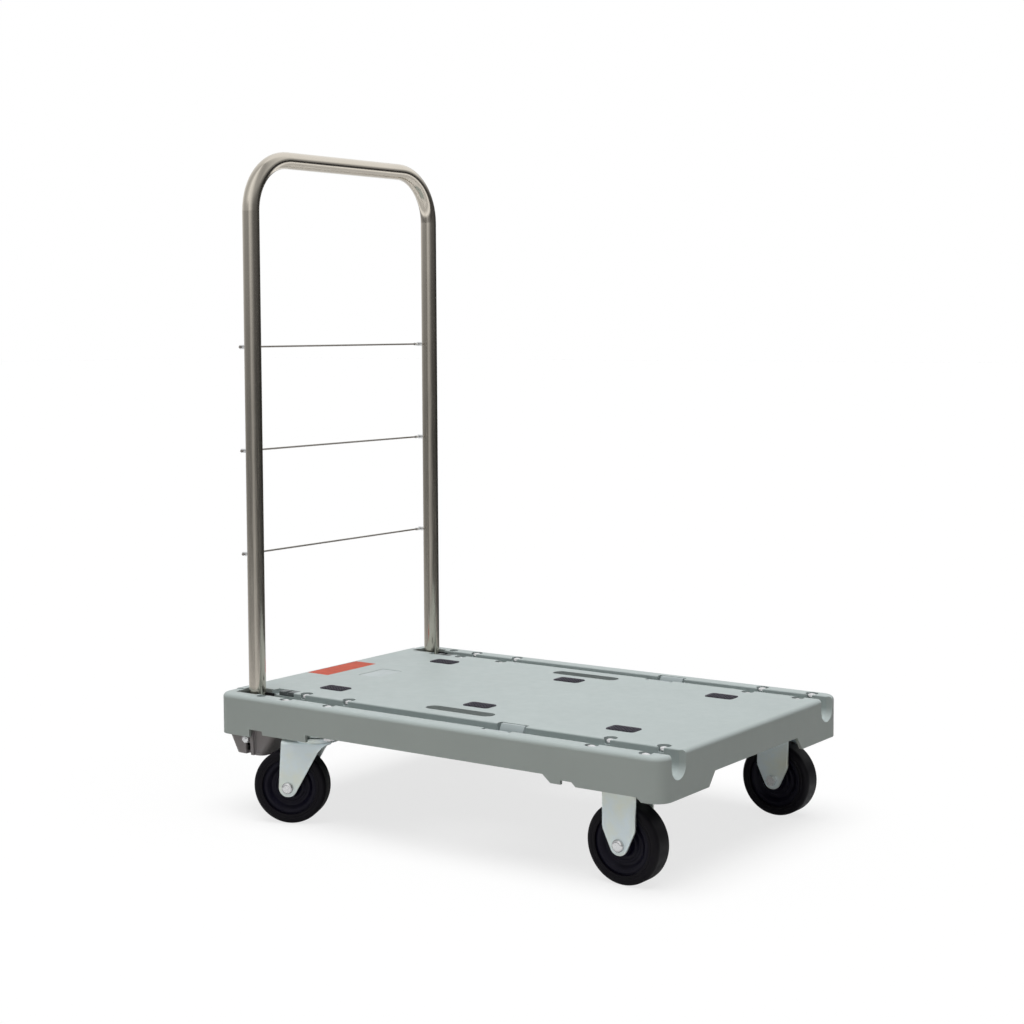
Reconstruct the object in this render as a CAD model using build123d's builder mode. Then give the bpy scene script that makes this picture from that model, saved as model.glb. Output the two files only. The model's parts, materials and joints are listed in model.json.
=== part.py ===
from build123d import *
import os
from math import atan2, cos, hypot, radians, sin

os.makedirs("parts", exist_ok=True)

# A folding platform cart in millimetres. The origin is on the floor under the middle of the deck,
# +X points to the open front end, +Z points up, and the handle stands at the rear.
# The right side is -Y and the left side is +Y.
SIDES = {"right": -1, "left": 1}

# How far a cut runs past the face that it opens
overrun = 1

# Deck
deck_length = 735
deck_width = 480
deck_top = 173
deck_skin = 4.5
deck_corner_radius = 22
deck_edge_round = 6
rail_drop = 1
skirt_wall = 4.5
rib_wall = 3
rib_pitch_x = 72
rib_pitch_y = 60
rib_height = 10.5

# Skirt's lower edge: heights above the floor, and the places along the deck where it steps
skirt_low = 115
skirt_middle = 120.5
skirt_notch = 126
skirt_high = 130.5
skirt_end_high = 133
rear_notch_start = 61.5
rear_notch_length = 24.5
rear_foot_length = 166.5
front_foot_length = 162.5
front_slope = 12
front_notch_start = 125
front_notch_length = 16.5
front_notch_slope = 6
front_corner_length = 36.5
front_corner_slope = 7
end_foot_width = 112
end_slope = 16

# Handle: one bent tube, with its legs over the grooves of the deck
groove_inset = 38.5
tube_diameter = 24
tube_wall = 1.5
leg_inset = 42.5
bar_height = 926
bend_radius = 75
pivot_height = 156
foot_drop = 31.2

# Grooves for the folded handle
groove_gap = 1.6
groove_wall = 4
groove_lip = 2
mouth_flare = 3.8
mouth_depth = 8

# Leg wells at the rear end of the grooves
well_half_width = 18.4
well_front = 22
well_opening_front = 15
well_opening_rear = 25
well_sweep_gap = 1.2
well_wall = 4.1

# Hinge of each leg
pivot_diameter = 10
pivot_running_gap = 0.06
bush_wall = 1.44
bush_end_gap = 0.7
pivot_head_flats = 16
pivot_head_height = 5
pivot_nut_height = 6.5
pivot_pocket_radius = 11
bracket_plate = 3
bracket_half_gap = 14.5
bracket_half_length = 16
bracket_top_margin = 12
bracket_flange = 10
bracket_bottom = 98
bracket_screw_diameter = 5
bracket_screw_length = 14
bracket_screw_offset = 9
plug_gap = 0.1
plug_length = 47

# Underside that the casters and the hinge brackets are bolted to
seat_height = 135
seat_thickness = 4
bracket_seat_half_width = 29
bracket_seat_front = 26

# Lock slider beside each leg: a thumb block on the deck and a bolt under the groove
lock_bolt_diameter = 6
lock_drop = 25
lock_travel = 12
lock_nose_gap = 2
lock_bolt_length = 22
lock_arm_length = 20
lock_stem_length = 12
lock_stem_width = 6
lock_stem_inset = 24.5
lock_block_length = 28
lock_block_width = 13.2
lock_block_inset = 21.5
lock_block_height = 5.8
lock_block_valley = 5
lock_valley_depth = 3
lock_side_gap = 0.5
lock_floor_gap = 0.4
lock_top_gap = 0.2

# Grip pads, panel, recess and hand slots in the deck's top
pad_length = 42
pad_width = 26
pad_corner = 5
pad_depth = 4
pad_proud = 1.2
pad_end_inset = 125
pad_side_inset = 112.3
pad_middle_inset = 130.3
pad_gap = 0.3
pad_boss_wall = 3
panel_length = 40
panel_width = 112
panel_depth = 1.2
panel_inset = 7.5
panel_gap = 0.2
recess_length = 37
recess_width = 58
recess_depth = 0.8
recess_inset = 83.5
slot_length = 111
slot_width = 23
slot_inset = 86.4
slot_wall = 3.5

# Snap clips across the grooves
clip_inset = 258.5
clip_length = 37
clip_half_width = 21.5
clip_floor = 3.6
clip_tube_gap = 0.4
clip_top_gap = 0.5
clip_lead_in = 5
clip_lead_depth = 8
clip_pocket_gap = 4
clip_side_gap = 1
clip_pocket_wall = 4
clip_screw_diameter = 4
clip_screw_head = 8
clip_screw_length = 7

# Casters
wheel_diameter = 104
wheel_width = 33
tyre_thickness = 13
tyre_shoulder = 6.5
core_half_width = 19.4
core_web_half = 8
core_rim_depth = 4
core_hub_diameter = 30
core_rim_wall = 6
sleeve_diameter = 14
sleeve_running_gap = 0.06
axle_diameter = 8
axle_sleeve_gap = 0.05
axle_head_diameter = 16.5
axle_head_height = 5
axle_head_round = 4
axle_nut_flats = 13
axle_nut_height = 6.5
fork_half_gap = 19.7
fork_plate = 2.8
fork_tip_radius = 13
plate_length = 100
plate_width = 66
plate_thickness = 4
plate_corner = 8
front_caster_inset = 72.5
rear_caster_inset = 155.5
fixed_fork_width = 47.5
fixed_fork_shoulder = 71.5

# Swivel heads of the rear casters
trail = 37.5
swivel_turn = 25
crown_radius = 33
crown_thickness = 3.5
crown_top = 119.4
crown_lip = 2
crown_lip_height = 4.5
fork_rear_reach = 46.5
fork_front_reach = 24
fork_flare_x = 13.5
fork_flare_height = 110.5
fork_waist_x = 2.5
fork_waist_height = 97
ball_diameter = 5
ball_count = 20
ball_circle = 26
ball_gap = 0.1
race_wall = 6
kingpin_diameter = 12
kingpin_running_gap = 0.06
kingpin_head_diameter = 20
kingpin_head_height = 4
kingpin_head_gap = 0.3

# Caster bolts through the deck
bolt_diameter = 8
bolt_hole_gap = 0.3
bolt_pitch_x = 78
bolt_pitch_y = 43.5
bolt_head_diameter = 14
bolt_head_height = 4
bolt_head_round = 2.2
bolt_pocket_radius = 9
bolt_pocket_depth = 7
bolt_column_radius = 11
nut_flats = 13
nut_height = 6.5
bolt_end_length = 1.5

# Housings under the rear corners
housing_top = 127
housing_bottom = 87
housing_wall = 3.5
housing_floor = 4
housing_outer_inset = 10
housing_inner_inset = 69
housing_taper_side = 6
housing_corner = 9
housing_rear_inset = 6
housing_front_inset = 105.5
housing_rear_taper = 18.5
housing_front_taper = 31
housing_bolt_diameter = 6
housing_bolt_inset = 70.5
housing_boss_radius = 7
housing_boss_length = 24
housing_pocket_radius = 7
housing_bolt_head = 10
housing_bolt_head_height = 4
cross_bolt_height = 109.5
cross_bolt_diameter = 8
cross_bolt_offset = 4
cross_bolt_head_diameter = 13
cross_bolt_head_height = 5
cross_bolt_head_round = 4
cross_bolt_gap = 0.9

# Cross wires behind the legs, on studs
wire_heights = {"lower": 367, "middle": 514, "upper": 661}
wire_diameter = 2.6
wire_offset = 19.9
wire_end = 5
wire_ball_diameter = 3.6
stud_diameter = 6
stud_tip = 4
stud_shank_diameter = 4
stud_seat_gap = 0.2
stud_hole_gap = 0.2

# Places worked out from the sizes above
leg_x = -deck_length / 2 + leg_inset
tube_radius = tube_diameter / 2
foot_height = pivot_height - foot_drop
groove_radius = tube_radius + groove_gap
skin_under = deck_top - deck_skin
rail_top = deck_top - rail_drop
rail_under = rail_top - deck_skin
rear_face = -deck_length / 2
front_face = deck_length / 2
track = deck_width / 2 - groove_inset
pad_pitch_x = deck_length / 2 - pad_end_inset
pad_end_y = deck_width / 2 - pad_side_inset
pad_middle_y = deck_width / 2 - pad_middle_inset
slot_y = deck_width / 2 - slot_inset
clip_x = front_face - clip_inset
front_caster_x = front_face - front_caster_inset
rear_caster_x = rear_face + rear_caster_inset
rib_low = skin_under - rib_height
well_sweep = hypot(foot_drop, tube_radius) + well_sweep_gap
lock_height = pivot_height - lock_drop
cross_bolt_x = leg_x + cross_bolt_offset
lock_nose_x = leg_x + tube_radius + lock_nose_gap
lock_arm_x = lock_nose_x + lock_bolt_length
lock_floor = deck_top - lock_top_gap - lock_block_height - lock_floor_gap
lock_block_x = lock_arm_x + lock_stem_length / 2
plate_under = seat_height - plate_thickness
axle_height = wheel_diameter / 2
fork_outer = fork_half_gap + fork_plate
bolt_seat = deck_top - bolt_pocket_depth
caster_bolt_places = [
    (caster_x + bolt_pitch_x / 2 * end, side * track + bolt_pitch_y / 2 * edge)
    for caster_x in (front_caster_x, rear_caster_x)
    for side in SIDES.values()
    for end in (-1, 1)
    for edge in (-1, 1)
]
housing_bolt_places = [
    (rear_face + housing_bolt_inset, side * (track + bolt_pitch_y / 2)) for side in SIDES.values()
]


def save(builder, name):
    """Labels a finished piece and writes its STEP file."""
    builder.part.label = name
    export_step(builder.part, f"parts/{name}.step")


def box_between(x_range, y_range, z_range, mode=Mode.ADD):
    """A box given by its lowest and highest values on each axis."""
    sizes = [high - low for low, high in (x_range, y_range, z_range)]
    middles = [(high + low) / 2 for low, high in (x_range, y_range, z_range)]
    with Locations(tuple(middles)):
        Box(*sizes, mode=mode)


def side_range(side, low, high):
    """The same distances from the middle plane, on the left or the right side."""
    return tuple(sorted((side * low, side * high)))


def hex_radius(flats):
    """Corner radius of a hexagon with this distance across its flats."""
    return flats / 2 / cos(radians(30))


def groove_section(middle_y, radius, middle_z):
    """A slot with a round bottom that is open above the deck, drawn in a YZ plane."""
    with Locations((middle_y, middle_z)):
        Circle(radius)
    with Locations((middle_y, middle_z)):
        Rectangle(2 * radius, 2 * (deck_top - pivot_height), align=(Align.CENTER, Align.MIN))


# Deck: skirted shell
with BuildPart() as deck:
    with BuildSketch(Plane.XY.offset(skirt_low)):
        RectangleRounded(deck_length, deck_width, deck_corner_radius)
    extrude(amount=rail_top - skirt_low)
    fillet(deck.faces().sort_by(Axis.Z)[-1].edges(), deck_edge_round)
    with BuildSketch(Plane.XY.offset(skirt_low)):
        RectangleRounded(
            deck_length - 2 * skirt_wall, deck_width - 2 * skirt_wall, deck_corner_radius - skirt_wall
        )
    extrude(amount=rail_under - skirt_low, mode=Mode.SUBTRACT)

    # Middle of the deck, which stands above the rails outside the grooves
    middle_y = (-track, track)
    box_between((rear_face, front_face), middle_y, (rail_top - deck_edge_round, deck_top))
    end_edges = deck.edges().filter_by(Axis.Y).filter_by(lambda edge: edge.center().Z > deck_top - 0.01)
    fillet(end_edges, deck_edge_round)
    cavity_x = (rear_face + skirt_wall, front_face - skirt_wall)
    box_between(cavity_x, middle_y, (rail_under, skin_under), Mode.SUBTRACT)

    # Ribs under the skin
    rib_count_x = 2 * int(deck_length / 2 / rib_pitch_x) - 1
    rib_count_y = 2 * int((slot_y - slot_width) / rib_pitch_y) + 1
    with BuildSketch(Plane.XY.offset(rib_low)):
        with GridLocations(rib_pitch_x, 1, rib_count_x, 1):
            Rectangle(rib_wall, deck_width - skirt_wall)
        with GridLocations(1, rib_pitch_y, 1, rib_count_y):
            Rectangle(deck_length - skirt_wall, rib_wall)
    extrude(amount=rib_height)

    for side in SIDES.values():
        groove_y = side * track
        # Walls of the groove, the leg well and the clip pocket
        trough = groove_radius + groove_wall
        box_between(
            (rear_face + skirt_wall, front_face - skirt_wall),
            (groove_y - trough, groove_y + trough),
            (pivot_height - trough, skin_under),
        )
        well_edge = well_half_width + well_wall
        box_between(
            (rear_face + skirt_wall, leg_x + bracket_seat_front),
            (groove_y - well_edge, groove_y + well_edge),
            (seat_height, skin_under),
        )
        box_between(
            (leg_x - bracket_seat_front, leg_x + bracket_seat_front),
            (groove_y - bracket_seat_half_width, groove_y + bracket_seat_half_width),
            (seat_height, seat_height + seat_thickness),
        )
        clip_reach = clip_length / 2 + clip_pocket_gap + clip_pocket_wall
        clip_edge = clip_half_width + clip_side_gap + clip_pocket_wall
        clip_seat = pivot_height - tube_radius - clip_tube_gap - clip_floor
        box_between(
            (clip_x - clip_reach, clip_x + clip_reach),
            (groove_y - clip_edge, groove_y + clip_edge),
            (clip_seat - clip_pocket_wall, skin_under),
        )
        # Seats of the casters
        for caster_x in (front_caster_x, rear_caster_x):
            box_between(
                (caster_x - plate_length / 2, caster_x + plate_length / 2),
                (groove_y - plate_width / 2, groove_y + plate_width / 2),
                (seat_height, seat_height + seat_thickness),
            )
        # Boss under the lock slider's pocket, and the wall round the hand slot
        lock_y = side * (track - lock_block_inset)
        lock_reach = lock_block_length / 2 + lock_side_gap
        lock_edge = lock_block_width / 2 + lock_side_gap
        lock_pocket_x = (lock_block_x - lock_reach - lock_travel, lock_block_x + lock_reach)
        box_between(
            (lock_pocket_x[0] - rib_wall, lock_pocket_x[1] + rib_wall),
            (lock_y - lock_edge - rib_wall, lock_y + lock_edge),
            (lock_floor - deck_skin, skin_under),
        )
        with BuildSketch(Plane.XY.offset(rib_low)):
            with Locations((0, side * slot_y)):
                SlotOverall(slot_length + 2 * slot_wall, slot_width + 2 * slot_wall)
        extrude(amount=rib_height)

    # Columns of the bolts that pass through the deck, and bosses under the pads
    with BuildSketch(Plane.XY.offset(seat_height)):
        with Locations(*caster_bolt_places):
            Circle(bolt_column_radius)
        with Locations(*housing_bolt_places):
            Circle(housing_pocket_radius + groove_lip)
    extrude(amount=skin_under - seat_height)
    pad_places = [
        (pad_pitch_x * end, side * (pad_end_y if end else pad_middle_y))
        for end in (-1, 0, 1)
        for side in SIDES.values()
    ]
    with BuildSketch(Plane.XY.offset(deck_top - pad_depth - deck_skin)):
        with Locations(*pad_places):
            Rectangle(pad_length + 2 * pad_boss_wall, pad_width + 2 * pad_boss_wall)
    extrude(amount=pad_depth)

    # Grooves with their flared mouths
    for side in SIDES.values():
        with BuildSketch(Plane.YZ.offset(leg_x)):
            groove_section(side * track, groove_radius, pivot_height)
        extrude(amount=deck_length, mode=Mode.SUBTRACT)
    lip_edges = deck.edges().filter_by(Axis.X).filter_by(
        lambda edge: edge.center().Z > rail_top - 0.01
        and abs(abs(abs(edge.center().Y) - track) - groove_radius) < 0.01
    )
    fillet(lip_edges, groove_lip)
    for side in SIDES.values():
        with BuildSketch(Plane.YZ.offset(front_face - mouth_depth)):
            groove_section(side * track, groove_radius, pivot_height)
        with BuildSketch(Plane.YZ.offset(front_face + overrun)):
            groove_section(side * track, groove_radius + mouth_flare, pivot_height)
        loft(mode=Mode.SUBTRACT)

    # Leg wells, pivot pockets, clip pockets and lock pockets
    for side in SIDES.values():
        groove_y = side * track
        well_y = (groove_y - well_half_width, groove_y + well_half_width)
        well_front_x = leg_x + well_front
        box_between((leg_x - well_sweep, well_front_x), well_y, (skirt_low, skin_under), Mode.SUBTRACT)
        opening_z = (skin_under, deck_top + overrun)
        opening_x = (leg_x - well_opening_rear, leg_x + well_opening_front)
        box_between(opening_x, well_y, opening_z, Mode.SUBTRACT)
        with Locations(Location((leg_x, groove_y, pivot_height), (90, 0, 0))):
            Cylinder(pivot_pocket_radius, 2 * well_edge + overrun, mode=Mode.SUBTRACT)
        clip_reach = clip_length / 2 + clip_pocket_gap
        clip_edge = clip_half_width + clip_side_gap
        box_between(
            (clip_x - clip_reach, clip_x + clip_reach),
            (groove_y - clip_edge, groove_y + clip_edge),
            (clip_seat, deck_top + overrun),
            Mode.SUBTRACT,
        )
        with Locations((clip_x, groove_y, clip_seat)):
            Hole(clip_screw_diameter / 2 + bolt_hole_gap)
        lock_y = side * (track - lock_block_inset)
        box_between(
            lock_pocket_x,
            tuple(sorted((lock_y - side * lock_edge, side * (track - groove_radius + overrun)))),
            (lock_floor, deck_top + overrun),
            Mode.SUBTRACT,
        )
        stem_y = side * (track - lock_stem_inset)
        stem_edge = lock_stem_width / 2 + lock_side_gap
        stem_reach = lock_stem_length / 2 + lock_side_gap
        box_between(
            (lock_block_x - stem_reach - lock_travel, lock_block_x + stem_reach),
            (stem_y - stem_edge, stem_y + stem_edge),
            (skirt_low, deck_top),
            Mode.SUBTRACT,
        )

    # Pockets and holes from above
    with Locations(*[(x, y, deck_top) for x, y in caster_bolt_places]):
        CounterBoreHole(bolt_diameter / 2 + bolt_hole_gap, bolt_pocket_radius, bolt_pocket_depth)
    with Locations(*[(x, y, deck_top) for x, y in housing_bolt_places]):
        CounterBoreHole(housing_bolt_diameter / 2 + bolt_hole_gap, housing_pocket_radius, bolt_pocket_depth)
    with BuildSketch(Plane.XY.offset(deck_top)):
        with Locations(*pad_places):
            RectangleRounded(pad_length + 2 * pad_gap, pad_width + 2 * pad_gap, pad_corner + pad_gap)
    extrude(amount=-pad_depth, mode=Mode.SUBTRACT)
    panel_x = rear_face + panel_inset + panel_length / 2
    with BuildSketch(Plane.XY.offset(deck_top)):
        with Locations((panel_x, 0)):
            Rectangle(panel_length + 2 * panel_gap, panel_width + 2 * panel_gap)
    extrude(amount=-panel_depth, mode=Mode.SUBTRACT)
    with BuildSketch(Plane.XY.offset(deck_top)):
        with Locations((rear_face + recess_inset + recess_length / 2, 0)):
            RectangleRounded(recess_length, recess_width, groove_lip)
    extrude(amount=-recess_depth, mode=Mode.SUBTRACT)
    with BuildSketch(Plane.XY.offset(rib_low)):
        with Locations((0, slot_y), (0, -slot_y)):
            SlotOverall(slot_length, slot_width)
    extrude(amount=deck_top - rib_low, mode=Mode.SUBTRACT)

    # Screw holes of the hinge brackets, from below
    bracket_screw_y = bracket_half_gap + bracket_plate + bracket_flange / 2
    bracket_screw_places = [
        (leg_x + bracket_screw_offset * end, side * track + bracket_screw_y * edge)
        for side in SIDES.values()
        for end in (-1, 1)
        for edge in (-1, 1)
    ]
    with BuildSketch(Plane.XY.offset(seat_height)):
        with Locations(*bracket_screw_places):
            Circle(bracket_screw_diameter / 2 + plug_gap)
    extrude(amount=bracket_screw_length, mode=Mode.SUBTRACT)

    # Lower edge of the skirt along the sides and across the ends
    below = skirt_low - overrun
    with BuildSketch(Plane.XZ) as side_edge:
        rear_start = rear_face + rear_notch_start
        front_start = front_face - front_foot_length
        notch_start = front_face - front_notch_start - front_notch_length - front_notch_slope
        corner_start = front_face - front_corner_length
        with BuildLine():
            Polyline(
                (rear_start, below),
                (rear_start, skirt_notch),
                (rear_start + rear_notch_length, skirt_notch),
                (rear_start + rear_notch_length, skirt_middle),
                (rear_face + rear_foot_length, skirt_middle),
                (rear_face + rear_foot_length, skirt_high),
                (front_start - front_slope, skirt_high),
                (front_start, skirt_middle),
                (notch_start, skirt_middle),
                (notch_start, skirt_notch),
                (notch_start + front_notch_length, skirt_notch),
                (notch_start + front_notch_length + front_notch_slope, skirt_middle),
                (corner_start, skirt_middle),
                (corner_start + front_corner_slope, below),
                close=True,
            )
        make_face()
    extrude(amount=deck_width, both=True, mode=Mode.SUBTRACT)
    with BuildSketch(Plane.YZ):
        end_start = deck_width / 2 - end_foot_width
        with BuildLine():
            Polyline(
                (-end_start, below),
                (end_slope - end_start, skirt_end_high),
                (end_start - end_slope, skirt_end_high),
                (end_start, below),
                close=True,
            )
        make_face()
    extrude(amount=deck_length, both=True, mode=Mode.SUBTRACT)
save(deck, "deck")

# Grip pads let into the deck, standing a little above its top
pad_rows = {-1: "rear", 0: "middle", 1: "front"}
for end, row in pad_rows.items():
    for side_name, side in SIDES.items():
        with BuildPart() as pad:
            with BuildSketch(Plane.XY.offset(deck_top - pad_depth)):
                with Locations((pad_pitch_x * end, side * (pad_end_y if end else pad_middle_y))):
                    RectangleRounded(pad_length, pad_width, pad_corner)
            extrude(amount=pad_depth + pad_proud)
        save(pad, f"grip_pad_{row}_{side_name}")

# Plain panel at the rear edge
with BuildPart() as panel:
    with BuildSketch(Plane.XY.offset(deck_top - panel_depth)):
        with Locations((panel_x, 0)):
            Rectangle(panel_length, panel_width)
    extrude(amount=panel_depth)
save(panel, "rear_panel")

# Handle: a bent tube with holes for its hinge, lock and wire studs
with BuildPart() as handle:
    with BuildLine():
        FilletPolyline(
            (leg_x, -track, foot_height),
            (leg_x, -track, bar_height),
            (leg_x, track, bar_height),
            (leg_x, track, foot_height),
            radius=bend_radius,
        )
    with BuildSketch(Plane(origin=(leg_x, -track, foot_height), z_dir=(0, 0, 1))):
        Circle(tube_radius)
        Circle(tube_radius - tube_wall, mode=Mode.SUBTRACT)
    sweep()
    bush_radius = pivot_diameter / 2 + pivot_running_gap + bush_wall
    for side in SIDES.values():
        with Locations(Location((leg_x, side * track, pivot_height), (90, 0, 0))):
            Cylinder(bush_radius + plug_gap / 2, tube_diameter + overrun, mode=Mode.SUBTRACT)
        with Locations(Location((leg_x + tube_radius, side * track, lock_height), (0, 90, 0))):
            Cylinder(lock_bolt_diameter / 2 + lock_side_gap, tube_diameter, mode=Mode.SUBTRACT)
        for height in wire_heights.values():
            with Locations(Location((leg_x - tube_radius, side * track, height), (0, 90, 0))):
                Cylinder(stud_shank_diameter / 2 + stud_hole_gap, tube_radius, mode=Mode.SUBTRACT)
save(handle, "handle_tube")


def make_foot_plug(side):
    """Solid foot inside the leg's end, with the hinge bore and the socket of the lock bolt."""
    with BuildPart() as plug:
        with BuildSketch(Plane.XY.offset(foot_height)):
            with Locations((leg_x, side * track)):
                Circle(tube_radius - tube_wall - plug_gap)
        extrude(amount=plug_length)
        with Locations(Location((leg_x, side * track, pivot_height), (90, 0, 0))):
            Cylinder(bush_radius + plug_gap / 2, tube_diameter, mode=Mode.SUBTRACT)
        with Locations(Location((leg_x + tube_radius, side * track, lock_height), (0, 90, 0))):
            Cylinder(lock_bolt_diameter / 2 + lock_side_gap, tube_diameter, mode=Mode.SUBTRACT)
    return plug


def make_hinge_bracket(side):
    """Folded steel bracket that carries the pivot bolt, hung from the deck by its two flanges."""
    outer = bracket_half_gap + bracket_plate
    with BuildPart() as bracket:
        for edge in (-1, 1):
            plate_y = side * track + edge * (bracket_half_gap + bracket_plate / 2)
            box_between(
                (leg_x - bracket_half_length, leg_x + bracket_half_length),
                (plate_y - bracket_plate / 2, plate_y + bracket_plate / 2),
                (bracket_bottom, pivot_height + bracket_top_margin),
            )
            flange_y = side * track + edge * (outer + bracket_flange / 2)
            box_between(
                (leg_x - bracket_half_length, leg_x + bracket_half_length),
                (flange_y - bracket_flange / 2, flange_y + bracket_flange / 2),
                (seat_height - bracket_plate, seat_height),
            )
        box_between(
            (leg_x - bracket_half_length, leg_x + bracket_half_length),
            (side * track - outer, side * track + outer),
            (bracket_bottom, bracket_bottom + bracket_plate),
        )
        with Locations(Location((leg_x, side * track, pivot_height), (90, 0, 0))):
            Cylinder(pivot_diameter / 2 + plug_gap, 4 * outer, mode=Mode.SUBTRACT)
        with Locations(Location((cross_bolt_x, side * track, cross_bolt_height), (90, 0, 0))):
            Cylinder(cross_bolt_diameter / 2 + plug_gap, 4 * outer, mode=Mode.SUBTRACT)
        with BuildSketch(Plane.XY.offset(seat_height)):
            with Locations(*[place for place in bracket_screw_places if place[1] * side > 0]):
                Circle(bracket_screw_diameter / 2 + bolt_hole_gap)
        extrude(amount=-bracket_plate, mode=Mode.SUBTRACT)
    return bracket


def make_lock_slider(side):
    """Thumb block with two lugs, its stem through the deck, and the bolt under the groove."""
    block_y = side * (track - lock_block_inset)
    stem_y = side * (track - lock_stem_inset)
    arm_bottom = lock_height - lock_bolt_diameter / 2
    block_top = deck_top - lock_top_gap
    with BuildPart() as slider:
        with Locations((lock_nose_x, side * track, lock_height)):
            with Locations(Location((0, 0, 0), (0, 90, 0))):
                Cylinder(
                    lock_bolt_diameter / 2,
                    lock_bolt_length + lock_arm_length / 2,
                    align=(Align.CENTER, Align.CENTER, Align.MIN),
                )
        box_between(
            (lock_arm_x, lock_arm_x + lock_arm_length),
            side_range(side, track - lock_stem_inset - lock_stem_width / 2, track + lock_bolt_diameter / 2),
            (arm_bottom, arm_bottom + lock_bolt_diameter),
        )
        box_between(
            (lock_block_x - lock_stem_length / 2, lock_block_x + lock_stem_length / 2),
            (stem_y - lock_stem_width / 2, stem_y + lock_stem_width / 2),
            (arm_bottom, block_top - lock_block_height / 2),
        )
        box_between(
            (lock_block_x - lock_block_length / 2, lock_block_x + lock_block_length / 2),
            (block_y - lock_block_width / 2, block_y + lock_block_width / 2),
            (block_top - lock_block_height, block_top),
        )
        with Locations((lock_block_x, block_y, block_top)):
            Box(
                lock_block_valley,
                lock_block_width + overrun,
                lock_valley_depth,
                align=(Align.CENTER, Align.CENTER, Align.MAX),
                mode=Mode.SUBTRACT,
            )
    return slider


def make_clip(side):
    """U-shaped snap clip across the groove, with sloped lead-in faces above the tube."""
    clip_top = deck_top - clip_top_gap
    inner = tube_radius + clip_tube_gap
    with BuildPart() as clip:
        with BuildSketch(Plane.YZ.offset(clip_x - clip_length / 2)):
            with Locations((side * track, clip_seat)):
                Rectangle(2 * clip_half_width, clip_top - clip_seat, align=(Align.CENTER, Align.MIN))
            with Locations((side * track, pivot_height)):
                Circle(inner, mode=Mode.SUBTRACT)
                Rectangle(
                    2 * inner, deck_top - pivot_height, align=(Align.CENTER, Align.MIN), mode=Mode.SUBTRACT
                )
            with BuildLine():
                Polyline(
                    (side * track - inner, clip_top - clip_lead_depth),
                    (side * track - inner - clip_lead_in, clip_top),
                    (side * track + inner + clip_lead_in, clip_top),
                    (side * track + inner, clip_top - clip_lead_depth),
                    close=True,
                )
            make_face(mode=Mode.SUBTRACT)
        extrude(amount=clip_length)
        box_between(
            (clip_x - clip_length, clip_x + clip_length),
            side_range(side, track, track + clip_half_width),
            (rail_top - clip_top_gap, deck_top),
            Mode.SUBTRACT,
        )
        with Locations((clip_x, side * track, clip_seat + clip_floor)):
            CounterSinkHole(clip_screw_diameter / 2 + plug_gap, clip_screw_head / 2 + plug_gap)
    return clip


def make_housing(side):
    """Tapered dark housing under the rear corner, open at its top, with a boss that hangs from the deck."""
    outer_y = deck_width / 2 - housing_outer_inset
    inner_y = deck_width / 2 - housing_inner_inset
    x_low = rear_face + housing_rear_inset
    x_high = rear_face + housing_front_inset

    def level(height, shrink):
        """Outline of the housing at a height: its middle and its size, shrunk by the wall."""
        share = (housing_top - height) / (housing_top - housing_bottom)
        low = x_low + housing_rear_taper * share + shrink
        high = x_high - housing_front_taper * share - shrink
        near = inner_y + housing_taper_side * share + shrink
        far = outer_y - housing_taper_side / 2 * share - shrink
        return ((low + high) / 2, side * (near + far) / 2), (high - low, far - near)

    with BuildPart() as housing:
        for height in (housing_bottom, housing_top):
            middle, size = level(height, 0)
            with BuildSketch(Plane.XY.offset(height)):
                with Locations(middle):
                    RectangleRounded(*size, housing_corner)
        loft()
        for height in (housing_bottom + housing_floor, housing_top):
            middle, size = level(height, housing_wall)
            with BuildSketch(Plane.XY.offset(height)):
                with Locations(middle):
                    RectangleRounded(*size, housing_corner - housing_wall)
        loft(mode=Mode.SUBTRACT)
        boss_place = (rear_face + housing_bolt_inset, side * (track + bolt_pitch_y / 2))
        with BuildSketch(Plane.XY.offset(seat_height)):
            with Locations(boss_place):
                Circle(housing_boss_radius)
        extrude(amount=-housing_boss_length)
        with BuildSketch(Plane.XY.offset(seat_height)):
            with Locations(boss_place):
                Circle(housing_bolt_diameter / 2 + plug_gap)
        extrude(amount=-housing_boss_length, mode=Mode.SUBTRACT)
        with Locations(Location((cross_bolt_x, side * track, cross_bolt_height), (90, 0, 0))):
            Cylinder(cross_bolt_diameter / 2 + plug_gap, deck_width, mode=Mode.SUBTRACT)
    return housing


for side_name, side in SIDES.items():
    save(make_foot_plug(side), f"foot_plug_{side_name}")
    save(make_hinge_bracket(side), f"hinge_bracket_{side_name}")
    save(make_lock_slider(side), f"lock_slider_{side_name}")
    save(make_clip(side), f"handle_clip_{side_name}")
    save(make_housing(side), f"corner_housing_{side_name}")

# Bushes in the legs that turn on the pivot bolts
with BuildPart() as pivot_bushes:
    for side in SIDES.values():
        with BuildSketch(Plane.XZ.offset(-side * track)):
            with Locations((leg_x, pivot_height)):
                Circle(bush_radius)
                Circle(pivot_diameter / 2 + pivot_running_gap, mode=Mode.SUBTRACT)
        extrude(amount=bracket_half_gap - bush_end_gap, both=True)
save(pivot_bushes, "pivot_bushes")

# Hinge bolts along Y with their heads on the outer sides, and their nuts
bracket_outer = bracket_half_gap + bracket_plate
with BuildPart() as pivot_bolts:
    for side in SIDES.values():
        with BuildSketch(Plane.XZ.offset(-side * (track + bracket_outer))):
            with Locations((leg_x, pivot_height)):
                RegularPolygon(hex_radius(pivot_head_flats), 6)
        extrude(amount=-side * pivot_head_height)
        with BuildSketch(Plane.XZ.offset(-side * (track + bracket_outer))):
            with Locations((leg_x, pivot_height)):
                Circle(pivot_diameter / 2)
        extrude(amount=side * (2 * bracket_outer + pivot_nut_height))
save(pivot_bolts, "pivot_bolts")

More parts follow.
